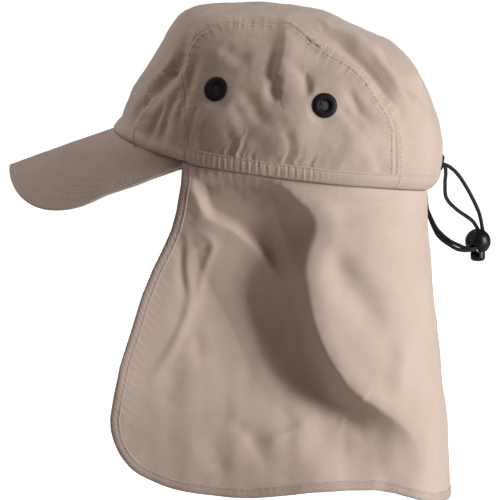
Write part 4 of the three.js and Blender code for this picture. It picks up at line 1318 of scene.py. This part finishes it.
    def hem_strip(self, points: Array, surface: BVHTree) -> Array:
        """Grid of the hem, wrapped over the flap's free edge from its outer to its inner face.

        Args:
            points: The flap's own grid.
            surface: The flap's surface, to lie on.

        Returns:
            Rows of points across the hem, one column for each place along it.
        """
        line = spread(self.border(points), 1500)
        ahead = unit(np.gradient(line, axis=0))
        along = arc_lengths(line)
        count = len(line)
        faces = np.empty((count, 3))
        for k in range(count):
            _, normal, _, _ = surface.find_nearest(Vector(line[k]))
            faces[k] = normal
        outward = np.sign((faces * (line - INSIDE_FLAP))[:, :2].sum(axis=1))[:, None]
        faces = faces * outward
        inward = unit(np.cross(faces, ahead))
        middle = np.array([0.0, 0.0, -0.03])
        inward *= np.sign((inward * (middle - line)).sum())
        section = ((5.5, 0.0), (5.3, 0.42), (4.6, 0.46), (3.9, 0.18), (3.2, 0.5), (1.6, 0.6), (0.4, 0.45),
                   (-0.25, 0.0), (-0.35, -0.6), (-0.1, -1.3), (0.6, -1.6), (3.0, -1.6), (5.4, -1.35))
        slant = 0.5 * waver(along / 0.0042 * math.pi, 2.0)
        rows = []
        for inwards, out in section:
            row = np.empty((count, 3))
            for k in range(count):
                place = line[k] + inward[k] * inwards * MM
                if inwards > 0.3:
                    hit, normal, _, _ = surface.find_nearest(Vector(place))
                    place = np.array(hit)
                    facing = np.array(normal)
                    facing *= np.sign(facing @ faces[k])
                else:
                    facing = faces[k]
                ripple = 0.08 * slant[k] if 1.0 < inwards < 5.4 and out > 0 else 0.0
                row[k] = place + facing * (out + ripple) * MM
            rows.append(row)
        return np.array(rows)

    def build(self, material: Material, hem_material: Material) -> list[Piece]:
        """Builds and dresses the flap and its hem."""
        points = self.pucker(self.shaped(self.smooth_points()))
        self.points = points
        flap = cloth_grid("neck_flap_cloth", points, INSIDE_FLAP)
        self.surface = surface_of(flap)
        strip = self.hem_strip(points, self.surface)
        hem = cloth_grid("neck_flap_hem", strip, strip.mean(axis=0, keepdims=True))
        add_wall(flap, self.cloth)
        add_wall(hem, self.hem_cloth)
        dress(flap, material, "neck_flap")
        dress(hem, hem_material)
        return [flap, hem]


@dataclass(frozen=True)
class RingSizes:
    """Sizes of one kind of eyelet, in millimetres."""

    outside: float
    hole: float
    barrel: float
    rise: float
    back: float

    def profile(self) -> Array:
        """The ring's section, (radius, height over the cloth), in metres."""
        rim = self.outside / 2
        inner = self.hole / 2
        neck = self.barrel / 2
        width = rim - inner
        return MM * np.array([
            (inner, -self.back), (inner, 0.1), (inner + 0.08 * width, self.rise * 0.72),
            (inner + 0.22 * width, self.rise), (inner + 0.42 * width, self.rise * 1.08),
            (inner + 0.62 * width, self.rise * 0.96), (inner + 0.82 * width, self.rise * 0.66),
            (rim, self.rise * 0.22), (rim - 0.05, -0.02), (rim - 0.35, -0.12), (neck, -0.15),
            (neck, -self.back + 0.5), (rim - 1.2, -self.back + 0.45), (rim - 0.9, -self.back),
            (rim - 1.3, -self.back - 0.35), (inner + 0.3, -self.back - 0.35),
        ])


@dataclass
class Eyelets:
    """The four vents with their mesh, and the cord's eyelet at the back."""

    vent: RingSizes = RingSizes(outside=14.8, hole=6.4, barrel=8.6, rise=1.0, back=2.5)
    cord: RingSizes = RingSizes(outside=9.8, hole=5.2, barrel=7.0, rise=1.0, back=2.3)
    mesh_depth: float = 0.0004

    def seat(self, along: float, up: float, side: Side) -> tuple[Array, Array]:
        """A vent's place on the crown and the direction that it faces."""
        view = np.array([along * FORM.half_length, up * FORM.height])
        step = 0.0015
        offsets = np.array([(0, 0), (step, 0), (-step, 0), (0, step), (0, -step)])
        points = FORM.from_side(view + offsets, side)
        facing = unit(np.cross(points[1] - points[2], points[3] - points[4]))
        return points[0], facing * math.copysign(1.0, facing[0] * side.value)

    def back_seat(self) -> tuple[Array, Array]:
        """The cord eyelet's place at the back and the direction that it faces."""
        height = CORD_EYELET_UP * FORM.height
        start = np.array([[0, 0.02, height + step] for step in (0.0, 0.002, -0.002)])
        points = FORM.cast(start, np.tile([0.0, 1.0, 0.0], (3, 1)))
        slope = (points[1, 1] - points[2, 1]) / 0.004
        return points[0], unit(np.array([0.0, 1.0, -slope]))

    def build(self, paint: Material, mesh: Material) -> None:
        """Builds and dresses every eyelet and vent mesh."""
        for side in Side:
            for place, (along, up) in VENTS.items():
                centre, facing = self.seat(along, up, side)
                name = f"{side.word}_{place}"
                self.add_ring(f"vent_eyelet_{name}", self.vent, centre, facing, paint)
                self.add_mesh(f"vent_mesh_{name}", centre, facing, mesh)
        centre, facing = self.back_seat()
        self.add_ring("cord_eyelet", self.cord, centre, facing, paint)

    def add_ring(self, node: str, sizes: RingSizes, centre: Array, facing: Array,
                 paint: Material) -> None:
        """Builds one ring in place of its solid."""
        ring = spun(f"{node}_ring", sizes.profile(), 72)
        move_mesh(ring, centre, facing)
        dress(ring, paint, node)

    def add_mesh(self, node: str, centre: Array, facing: Array, material: Material) -> None:
        """Builds the woven disc that closes one vent."""
        bm = bmesh.new()
        radius = self.vent.hole / 2 * MM + 0.0003
        bmesh.ops.create_circle(bm, cap_ends=True, segments=40, radius=radius)
        bmesh.ops.inset_region(bm, faces=list(bm.faces), thickness=radius * 0.5)
        bmesh.ops.triangulate(bm, faces=list(bm.faces))
        bmesh.ops.subdivide_edges(bm, edges=list(bm.edges), cuts=2, use_grid_fill=True)
        for vert in bm.verts:
            vert.co.z = 0.0005 * (1 - (vert.co.xy.length / radius) ** 2)
        disc = take(bm, f"{node}_weave")
        mesh = disc.data
        layer = mesh.uv_layers.new(name="weave")
        for corner in mesh.loops:
            place = mesh.vertices[corner.vertex_index].co
            layer.data[corner.index].uv = (place.x, place.y)
        add_wall(disc, self.mesh_depth)
        move_mesh(disc, centre - facing * self.mesh_depth, facing)
        dress(disc, material, node)


@dataclass
class DrawCord:
    """The elastic draw cord, one limp braided cord that leaves and enters the same eyelet."""

    diameter: float = 0.0023
    sides: int = 14
    step: float = 0.0006

    def __post_init__(self) -> None:
        """Lays the cord's centre line, evenly spread."""
        dense = through_rows(CORD_ROUTE * MM, 24)
        self.line = spread(dense, int(arc_lengths(dense)[-1] / self.step))

    def tube(self) -> Array:
        """Rows of points round the cord, one row per place along it."""
        ahead = unit(np.gradient(self.line, axis=0))
        normal = unit(np.cross(ahead[0], np.array([1.0, 0.0, 0.0])))
        rows = []
        turn = np.linspace(0, 2 * math.pi, self.sides + 1)
        for place, direction in zip(self.line, ahead):
            normal = unit(normal - direction * (normal @ direction))
            across = np.cross(direction, normal)
            ring = np.outer(np.cos(turn), normal) + np.outer(np.sin(turn), across)
            rows.append(place + ring * self.diameter / 2)
        return np.array(rows)

    def build(self, material: Material) -> Piece:
        """Builds and dresses the cord."""
        cord = cloth_grid("draw_cord_braid", self.tube(), self.line[:, None])
        seal(cord)
        dress(cord, material, "draw_cord")
        return cord


@dataclass
class BallLock:
    """The ball lock: a ball with a sprung plunger below and a hole across for the cord."""

    centre: tuple[float, float, float] = (0.0, 0.1211, -0.0492)
    diameter: float = 0.0154
    heading: float = math.radians(28.4)
    hole_drop: float = 0.0035
    hole_width: float = 0.0060
    hole_height: float = 0.0036
    bore_radius: float = 0.00475
    bore_top: float = 0.00245
    plunger_radius: float = 0.0044
    plunger_bottom: float = -0.0117
    plunger_top: float = -0.0004
    travel: float = 0.0025

    def ball_profile(self) -> Array:
        """The bored ball's section: up the outside, over the top and down the bore."""
        radius = self.diameter / 2
        lip = 0.00035
        low = math.asin((self.bore_radius + lip) / radius)
        turn = np.linspace(-math.pi / 2 + low, math.pi / 2, 40)
        outside = np.stack([radius * np.cos(turn), radius * np.sin(turn)], axis=1)
        outside[-1, 0] = 0.0
        mouth = outside[0, 1]
        inside = np.array([(0.0, self.bore_top), (self.bore_radius - 0.0005, self.bore_top),
                           (self.bore_radius, self.bore_top - 0.0005),
                           (self.bore_radius, mouth + 0.0003), (self.bore_radius + 0.0001, mouth + 0.00008)])
        return np.vstack([outside, inside])

    def cross_hole(self, width: float, height: float, up: float) -> Piece:
        """A round-ended bar across the lock, along the cord's heading, to cut with."""
        bm = bmesh.new()
        bmesh.ops.create_cube(bm, size=1.0)
        bmesh.ops.scale(bm, vec=(0.03, width, height), verts=bm.verts)
        long_edges = [e for e in bm.edges if abs(e.verts[0].co.x - e.verts[1].co.x) > 0.02]
        bmesh.ops.bevel(bm, geom=long_edges, offset=height * 0.45, offset_type="OFFSET", segments=5,
                        profile=0.5, affect="EDGES", material=-1)
        bmesh.ops.rotate(bm, cent=(0, 0, 0), verts=bm.verts,
                         matrix=Matrix.Rotation(-self.heading, 3, "Z"))
        bmesh.ops.translate(bm, vec=(self.centre[0], self.centre[1], self.centre[2] + up), verts=bm.verts)
        return take(bm, "cross_hole")

    def build(self, plastic: Material) -> list[Piece]:
        """Builds and dresses the ball and its plunger."""
        ball = spun("lock_ball_shell", self.ball_profile(), 72)
        ball.data.transform(Matrix.Translation(self.centre))
        cut_with(ball, self.cross_hole(self.hole_width, self.hole_height, -self.hole_drop))
        add_bevel(ball, 0.00022, 2, 40)
        dress(ball, plastic, "lock_ball")

        radius = self.plunger_radius
        turn = np.linspace(-math.pi / 2, 0, 14)
        nose = 0.0021
        outside = np.stack([(radius - nose) + nose * np.cos(turn),
                            self.plunger_bottom + nose + nose * np.sin(turn)], axis=1)
        profile = np.vstack([[(0.0, self.plunger_bottom)], outside,
                             [(radius, self.plunger_top), (0.0, self.plunger_top)]])
        plunger = spun("lock_plunger_button", profile, 64)
        plunger.data.transform(Matrix.Translation(self.centre))
        slot_height = 0.0023 + 0.0006 + self.travel
        slot_up = -self.hole_drop + 0.00145 - slot_height / 2
        cut_with(plunger, self.cross_hole(0.0057, slot_height, slot_up))
        dress(plunger, plastic, "lock_plunger", PLUNGER)
        return [ball, plunger]


@dataclass
class Stitching:
    """Rows of thread stitches that lie in the cloth."""

    length: float = 0.0021
    pitch: float = 0.0029
    thread: float = 0.00042
    sunk: float = 0.00004

    def beside(self, line: Array, surface: BVHTree, offset: float) -> Array:
        """A line moved sideways over a surface.

        Args:
            line: The line's points.
            surface: What it lies on.
            offset: How far it moves; the sign picks the side.

        Returns:
            The moved points, on the surface.
        """
        moved = np.empty_like(line)
        for k, (place, ahead) in enumerate(zip(line, unit(np.gradient(line, axis=0)))):
            normal = surface.find_nearest(Vector(place))[1]
            across = unit(np.cross(np.array(normal), ahead))
            moved[k] = surface.find_nearest(Vector(place + across * offset))[0]
        return moved

    def sew(self, name: str, lines: list[Array], surface: BVHTree, inside: Array,
            thread: Material) -> Piece:
        """Sews rows of stitches as one piece.

        Args:
            name: The piece's name.
            lines: The rows, as lines of points near the surface.
            surface: What the stitches lie on.
            inside: A place on the inner side of the cloth.
            thread: The thread's finish.

        Returns:
            The stitches.
        """
        whole = bmesh.new()
        for line in lines:
            count = max(2, int(arc_lengths(line)[-1] / self.pitch))
            row = spread(line, 2 * count + 1)
            part = bmesh.new()
            for k in range(0, len(row) - 1, 2):
                self.add_stitch(part, row[k], row[k + 1], surface, inside)
            step = bpy.data.meshes.new("row")
            part.to_mesh(step)
            part.free()
            whole.from_mesh(step)
            bpy.data.meshes.remove(step)
        stitches = take(whole, name)
        dress(stitches, thread)
        return stitches

    def add_stitch(self, bm: bmesh.types.BMesh, start: Array, end: Array, surface: BVHTree,
                   inside: Array) -> None:
        """Adds one stitch between two places."""
        middle = (start + end) / 2
        hit, normal, _, _ = surface.find_nearest(Vector(middle))
        up = np.array(normal)
        if up @ (middle - inside) < 0:
            up = -up
        ahead = end - start
        ahead = unit(ahead - up * (ahead @ up))
        place = np.array(hit) + up * (self.thread * 0.18 - self.sunk)
        axes = (ahead * self.length / 2, np.cross(up, ahead) * self.thread / 2, up * self.thread / 2, place)
        turn = Matrix([*np.column_stack(axes).tolist(), (0, 0, 0, 1)])
        bmesh.ops.create_icosphere(bm, subdivisions=1, radius=1.0, matrix=turn)


def group_with(name: str, inputs: dict[str, str], outputs: tuple[str, ...]) -> tuple:
    """Starts a shader node group.

    Args:
        name: The group's name.
        inputs: Its input sockets and their kinds.
        outputs: Its output sockets, which give numbers.

    Returns:
        The group, its input node and its output node.
    """
    group = bpy.data.node_groups.new(name, "ShaderNodeTree")
    for socket, kind in inputs.items():
        group.interface.new_socket(socket, in_out="INPUT", socket_type=kind)
    for socket in outputs:
        group.interface.new_socket(socket, in_out="OUTPUT", socket_type="NodeSocketFloat")
    return group, group.nodes.new("NodeGroupInput"), group.nodes.new("NodeGroupOutput")


class Wiring:
    """Short ways to place and join shader nodes in one tree."""

    def __init__(self, tree: NodeTree) -> None:
        """Keeps the tree."""
        self.tree = tree

    def node(self, kind: str, **values: object) -> bpy.types.Node:
        """Places a node and sets its properties."""
        made = self.tree.nodes.new(kind)
        for name, value in values.items():
            setattr(made, name, value)
        return made

    def feed(self, socket: Socket, value: object) -> None:
        """Joins a socket to another, or gives it a value."""
        if isinstance(value, Socket):
            self.tree.links.new(value, socket)
        else:
            socket.default_value = value

    def fed(self, node: bpy.types.Node, values: dict[object, object]) -> bpy.types.Node:
        """Feeds a node's inputs, by name or number, and gives the node back."""
        for key, value in values.items():
            self.feed(node.inputs[key], value)
        return node

    def math(self, operation: str, first: object, second: object = 0.0) -> Socket:
        """The result of a math node on one or two numbers or sockets."""
        made = self.node("ShaderNodeMath", operation=operation)
        return self.fed(made, {0: first, 1: second}).outputs[0]

    def mix(self, factor: object, first: object, second: object, blend: str = "MIX") -> Socket:
        """A mix of two colours."""
        made = self.node("ShaderNodeMix", data_type="RGBA", blend_type=blend)
        return self.fed(made, {0: factor, 6: first, 7: second}).outputs[2]

    def noise(self, vector: object, scale: float, detail: float, rough: float = 0.5) -> Socket:
        """A noise pattern."""
        made = self.node("ShaderNodeTexNoise")
        values = {"Vector": vector, "Scale": scale, "Detail": detail, "Roughness": rough}
        return self.fed(made, values).outputs["Fac"]

    def range(self, value: object, low: float, high: float, to_low: float,
              to_high: float) -> Socket:
        """A value moved from one range to another."""
        made = self.node("ShaderNodeMapRange", interpolation_type="SMOOTHSTEP")
        values = {"Value": value, "From Min": low, "From Max": high, "To Min": to_low, "To Max": to_high}
        return self.fed(made, values).outputs["Result"]

    def own_place(self) -> Socket:
        """The piece's own coordinates."""
        return self.node("ShaderNodeTexCoord").outputs["Object"]

    def along_cloth(self) -> Socket:
        """The lengths along the cloth that its mesh holds."""
        return self.node("ShaderNodeUVMap", uv_map="weave").outputs["UV"]

    def split(self, vector: object) -> tuple[Socket, Socket]:
        """The first two numbers of a vector."""
        made = self.fed(self.node("ShaderNodeSeparateXYZ"), {0: vector})
        return made.outputs[0], made.outputs[1]

    def group(self, tree: NodeTree, **values: object) -> bpy.types.Node:
        """Places a node group and feeds its inputs."""
        return self.fed(self.node("ShaderNodeGroup", node_tree=tree), values)

    def bump(self, height: object, distance: float, strength: float = 1.0) -> Socket:
        """The normals of a surface with a relief."""
        values = {"Height": height, "Distance": distance, "Strength": strength}
        return self.fed(self.node("ShaderNodeBump"), values).outputs["Normal"]


class Weaves:
    """The shader node groups that several finishes share."""

    def __init__(self) -> None:
        """Builds each group once."""
        self.twill = self.twill_group()
        self.tone = self.tone_group()

    @staticmethod
    def twill_group() -> NodeTree:
        """Diagonal twill ribs: their height, and the painted shade that darkens the colour between them."""
        inputs = {"Vector": "NodeSocketVector", "Pitch": "NodeSocketFloat", "Turn": "NodeSocketFloat"}
        group, start, end = group_with("twill ribs", inputs, ("Height", "Shade"))
        wire = Wiring(group)
        vector, pitch, turn = start.outputs[:3]
        level, upright = wire.split(vector)
        cosine = wire.math("COSINE", turn)
        sine = wire.math("SINE", turn)
        across = wire.math("SUBTRACT", wire.math("MULTIPLY", upright, cosine),
                           wire.math("MULTIPLY", level, sine))
        along = wire.math("ADD", wire.math("MULTIPLY", level, cosine), wire.math("MULTIPLY", upright, sine))
        drift = wire.math("MULTIPLY", wire.noise(vector, 220.0, 2.0), 0.7)
        ribs = wire.math("ADD", wire.math("DIVIDE", across, pitch), drift)
        wave = wire.math("SINE", wire.math("MULTIPLY", ribs, 2 * math.pi))
        twist = wire.math("DIVIDE", along, wire.math("MULTIPLY", pitch, 0.55))
        twist = wire.math("ADD", twist, wire.math("MULTIPLY", wire.math("FLOOR", ribs), 0.37))
        knot = wire.math("SINE", wire.math("MULTIPLY", twist, 2 * math.pi))
        height = wire.math("ADD", wire.math("MULTIPLY", wave, 0.36), wire.math("MULTIPLY", knot, 0.12))
        # Painted shade of the valleys between the ribs, from the same wave as their height.
        shade = wire.range(wave, -1.0, 0.2, 0.0, 1.0)
        wire.fed(end, {"Height": wire.math("ADD", height, 0.5), "Shade": shade})
        return group

    @staticmethod
    def tone_group() -> NodeTree:
        """Slow and fine changes of tone over washed cotton."""
        group, start, end = group_with("washed tone", {"Vector": "NodeSocketVector"}, ("Cloud", "Fibre"))
        wire = Wiring(group)
        vector = start.outputs["Vector"]
        cloud = wire.range(wire.noise(vector, 26.0, 4.0, 0.6), 0.3, 0.7, 0.0, 1.0)
        wire.fed(end, {"Cloud": cloud, "Fibre": wire.noise(vector, 1900.0, 2.0, 0.7)})
        return group


@dataclass(frozen=True)
class Finish:
    """What every finish starts from.

    Attributes:
        name: The material's name.
        light: Its colour where it stands up or is rubbed; on the twill and strand finishes, the lightness
            where it stands up is partly painted light.
        dark: Its colour between, on those finishes partly painted shade.
    """

    name: str
    light: Colour
    dark: Colour

    def start(self) -> tuple[Material, Wiring, bpy.types.Node]:
        """A new material, the wiring of its tree and its shader."""
        material = bpy.data.materials.new(self.name)
        material.use_nodes = True
        return material, Wiring(material.node_tree), material.node_tree.nodes["Principled BSDF"]

    def colour(self, wire: Wiring, share: object) -> Socket:
        """The colour from dark to light as share goes from 0 to 1."""
        return wire.mix(share, (*self.dark, 1.0), (*self.light, 1.0))


@dataclass(frozen=True)
class TwillFinish(Finish):
    """Cotton twill.

    Attributes:
        turn: Direction of the ribs, from level.
        pitch: Distance between ribs.
        relief: Height of the ribs.
        rough: Roughness of the cloth.
    """

    turn: float = math.radians(44)
    pitch: float = 0.00120
    relief: float = 0.00010
    rough: float = 0.92

    def build(self, weaves: Weaves) -> Material:
        """Builds the material."""
        material, wire, shader = self.start()
        twill = wire.group(weaves.twill, Vector=wire.along_cloth(), Pitch=self.pitch, Turn=self.turn)
        tone = wire.group(weaves.tone, Vector=wire.own_place())
        cloud, fibre = tone.outputs[:2]
        # Painted shade: the colour darkens between the ribs, where their relief would shade it; the lighter
        # rib tops are partly rubbed wear.
        colour = self.colour(wire, wire.range(twill.outputs["Shade"], 0.0, 1.0, 0.55, 1.0))
        faded = wire.mix(wire.math("MULTIPLY", cloud, 0.10), colour, (1.0, 0.93, 0.86, 1.0), "SCREEN")
        worn = wire.mix(wire.math("MULTIPLY", fibre, 0.26), faded, (0.45, 0.36, 0.30, 1.0), "MULTIPLY")
        height = wire.math("ADD", twill.outputs["Height"], wire.math("MULTIPLY", fibre, 0.5))
        wire.fed(shader, {
            "Base Color": worn,
            "Roughness": wire.range(cloud, 0.0, 1.0, self.rough - 0.05, self.rough + 0.04),
            "Sheen Weight": 0.12,
            "Sheen Roughness": 0.6,
            "Specular IOR Level": 0.25,
            "Normal": wire.bump(height, self.relief),
        })
        return material


@dataclass(frozen=True)
class ThreadFinish(Finish):
    """Sewing thread, really of the cloth's colour; one copy is painted darker, painted shade at the
    stitches, and the peak's copy lighter, a painted highlight.
    """

    def build(self, weaves: Weaves) -> Material:
        """Builds the material."""
        material, wire, shader = self.start()
        fibre = wire.group(weaves.tone, Vector=wire.own_place()).outputs["Fibre"]
        wire.fed(shader, {
            "Base Color": self.colour(wire, fibre),
            "Roughness": wire.range(fibre, 0.2, 0.8, 0.6, 0.85),
            "Normal": wire.bump(fibre, 0.00008),
        })
        return material


@dataclass(frozen=True)
class HardFinish(Finish):
    """Black paint or plastic.

    Attributes:
        rough: Its roughness.
        grain: Size of the moulded or sprayed grain, as cells in a metre.
        relief: Height of that grain.
        coat: Weight of the clear coat.
    """

    rough: float
    grain: float
    relief: float
    coat: float

    def build(self, weaves: Weaves) -> Material:
        """Builds the material."""
        material, wire, shader = self.start()
        place = wire.own_place()
        cloud = wire.group(weaves.tone, Vector=place).outputs["Cloud"]
        grain = wire.noise(place, self.grain, 3.0, 0.6)
        wire.fed(shader, {
            "Base Color": self.colour(wire, wire.range(grain, 0.55, 0.8, 0.0, 0.6)),
            "Roughness": wire.math("ADD", wire.math("MULTIPLY", cloud, 0.08), self.rough),
            "Coat Weight": self.coat,
            "Coat Roughness": 0.08,
            "Specular IOR Level": 0.28,
            "Normal": wire.bump(grain, self.relief, 0.6),
        })
        return material


class Lay(Enum):
    """How strands cross: on the slant, as in a braid, or square, as in a mesh."""

    SLANTED = "slanted"
    SQUARE = "square"


@dataclass(frozen=True)
class StrandFinish(Finish):
    """Crossed strands, on the piece's own lengths.

    Attributes:
        lay: How the strands cross.
        period: Length of one wave of the strands; a mesh has two of them in it.
        lit: The heights between which the colour goes from dark to light, a painted shade where the strands
            sink.
        rough: Roughness between the strands.
        relief: Height of the strands.
    """

    lay: Lay
    period: float
    lit: tuple[float, float]
    rough: float
    relief: float

    def build(self) -> Material:
        """Builds the material."""
        material, wire, shader = self.start()
        ways = wire.split(wire.along_cloth())
        if self.lay is Lay.SLANTED:
            ways = wire.math("ADD", *ways), wire.math("SUBTRACT", *ways)
        waves = [wire.math("SINE", wire.math("MULTIPLY", way, 2 * math.pi / self.period)) for way in ways]
        if self.lay is Lay.SQUARE:
            waves = [wire.math("ABSOLUTE", wave) for wave in waves]
        height = wire.math("MAXIMUM", *waves)
        # Painted shade: the colour darkens where the strands sink between each other; on the vent mesh the
        # near-black cells also stand for the shaded inside seen through it.
        shade = wire.range(height, *self.lit, 0.0, 1.0)
        wire.fed(shader, {
            "Base Color": self.colour(wire, shade),
            "Roughness": wire.range(shade, 0.0, 1.0, self.rough, 0.5),
            "Normal": wire.bump(height, self.relief),
        })
        return material


@dataclass
class Studio:
    """The camera, the soft light and the pale floor."""

    aim: tuple[float, float, float] = (0.0, -0.0156, -0.0544)
    elevation: float = math.radians(8.0)
    distance: float = 4.0
    field: float = 0.300
    sensor: float = 36.0
    floor_height: float = -0.262

    def aimed(self, data: bpy.types.ID, place: Vector) -> Piece:
        """Links a camera or lamp at a place, turned to face the cap."""
        made = bpy.data.objects.new(data.name, data)
        bpy.context.scene.collection.objects.link(made)
        made.location = place
        made.rotation_euler = (Vector(self.aim) - place).to_track_quat("-Z", "Y").to_euler()
        return made

    def add_camera(self) -> None:
        """Places the camera level with the photograph's view, from the cap's left side."""
        data = bpy.data.cameras.new("camera")
        data.sensor_width = self.sensor
        data.lens = self.sensor * self.distance / self.field
        back = Vector((math.cos(self.elevation), 0.0, math.sin(self.elevation)))
        bpy.context.scene.camera = self.aimed(data, Vector(self.aim) + back * self.distance)

    def add_light(self, name: str, place: tuple[float, float, float], size: tuple[float, float],
                  power: float) -> None:
        """Adds one soft panel of light that faces the cap."""
        data = bpy.data.lights.new(name, "AREA")
        data.shape = "RECTANGLE"
        data.size, data.size_y = size
        data.energy = power
        self.aimed(data, Vector(place))

    def add_world(self) -> None:
        """A white surround for the camera, and a dimmer one that lights the cap."""
        world = bpy.data.worlds.new("surround")
        world.use_nodes = True
        bpy.context.scene.world = world
        wire = Wiring(world.node_tree)
        surround = world.node_tree.nodes["Background"]
        path = wire.node("ShaderNodeLightPath")
        tint = wire.mix(path.outputs["Is Camera Ray"], (0.125, 0.086, 0.070, 1.0), (1.0, 1.0, 1.0, 1.0))
        wire.feed(surround.inputs["Color"], tint)
        view = bpy.context.scene.view_settings
        view.view_transform = "Standard"
        view.look = "None"

    def add_floor(self) -> None:
        """A wide pale floor below the cap."""
        bm = bmesh.new()
        bmesh.ops.create_circle(bm, cap_ends=True, segments=96, radius=14.0)
        bmesh.ops.translate(bm, vec=(0, 0, self.floor_height), verts=bm.verts)
        floor = take(bm, "floor")
        finish = Finish("pale floor", (0.58, 0.58, 0.58), (0.55, 0.55, 0.55))
        material, wire, shader = finish.start()
        wire.fed(shader, {
            "Base Color": finish.colour(wire, wire.noise(wire.own_place(), 3.0, 2.0)),
            "Roughness": 0.9,
            "Emission Color": (1.0, 1.0, 1.0, 1.0),
            "Emission Strength": wire.node("ShaderNodeLightPath").outputs["Is Camera Ray"],
        })
        floor.data.materials.append(material)

    def build(self) -> None:
        """Sets up the whole studio."""
        self.add_camera()
        self.add_world()
        self.add_floor()
        self.add_light("key", (0.60, 1.46, 0.30), (0.6, 1.0), 28.0)
        self.add_light("top", (-0.7, -1.1, 1.4), (1.6, 1.6), 19.0)


def main() -> None:
    """Builds the cap, piece by piece."""
    logging.basicConfig(level=logging.INFO, format="%(name)s: %(message)s")
    Studio().build()
    weaves = Weaves()
    crown_twill = TwillFinish("sand crown twill", (0.58, 0.47, 0.40), (0.43, 0.345, 0.29)).build(weaves)
    peak_twill = TwillFinish("sand peak twill", (0.53, 0.43, 0.37), (0.40, 0.325, 0.275),
                             turn=math.radians(-40)).build(weaves)
    flap_twill = TwillFinish("sand flap twill", (0.595, 0.481, 0.412), (0.495, 0.397, 0.337),
                             relief=0.00005).build(weaves)
    hem_twill = TwillFinish("sand hem twill", (0.52, 0.41, 0.35), (0.38, 0.30, 0.25),
                            turn=math.radians(20)).build(weaves)
    # Painted highlight: the peak's thread is much lighter than its cloth, standing for the light its stitch
    # rows catch.
    lit_peak_thread = ThreadFinish("sand peak thread with painted light", (0.92, 0.80, 0.72), (0.66, 0.56, 0.50)).build(weaves)
    # Painted shade: this thread is darker than the cloth, standing for the small shadows at its stitches.
    thread = ThreadFinish("sand thread with painted shade", (0.52, 0.42, 0.35), (0.30, 0.235, 0.195)).build(weaves)
    paint = HardFinish("black eyelet paint", (0.010, 0.010, 0.015), (0.005, 0.005, 0.008), rough=0.55,
                       grain=900.0, relief=0.00004, coat=0.0).build(weaves)
    plastic = HardFinish("black moulded plastic", (0.008, 0.008, 0.011), (0.004, 0.004, 0.006), rough=0.34,
                         grain=1400.0, relief=0.00002, coat=0.15).build(weaves)
    braid = StrandFinish("black braided elastic", (0.022, 0.021, 0.026), (0.004, 0.004, 0.006), Lay.SLANTED,
                         period=0.0011, lit=(-0.2, 1.0), rough=0.8, relief=0.00018).build()
    # The mesh's near-black cells are painted shade, for the cap's dark inside seen through the vents.
    mesh = StrandFinish("fine black mesh", (0.075, 0.068, 0.070), (0.004, 0.004, 0.005), Lay.SQUARE,
                        period=0.0015, lit=(0.72, 0.95), rough=0.9, relief=0.0002).build()

    draw_cord = DrawCord()
    cord = draw_cord.build(braid)
    lock = BallLock().build(plastic)

    crown = Crown()
    crown.build(crown_twill)
    casing = Casing()
    casing_piece = casing.build(crown_twill)
    peak = Peak()
    peak_piece = peak.build(peak_twill)
    flap = NeckFlap()
    flap_piece, hem = flap.build(flap_twill, hem_twill)
    Eyelets().build(paint, mesh)

    sewing = Stitching()
    shell = surface_of(*crown.panels)
    rows = []
    for side in Side:
        seams = ((crown.side_seam[side], SIDE_STITCH), (crown.gusset_seam[side], GUSSET_STITCH))
        for seam, away in seams:
            rows += [sewing.beside(seam.points[::4], shell, offset) for offset in (away, -away)]
    sewing.sew("crown_stitches", rows, shell, INSIDE_CROWN, thread)
    casing_row = casing.top_line(casing.stitch_share)
    sewing.sew("casing_stitches", [casing_row], surface_of(casing_piece), INSIDE_CROWN, thread)
    sewing.sew("peak_stitches", [peak.row_line(share) for share in peak.stitch_rows], surface_of(peak_piece),
               BELOW_PEAK, lit_peak_thread)
    border = spread(flap.border(flap.points), 900)[6:-6]
    hem_row = sewing.beside(border, flap.surface, flap.hem_stitch)
    hem_stitches = sewing.sew("hem_stitches", [hem_row], surface_of(hem), INSIDE_FLAP, thread)


if __name__ == "__main__":
    main()
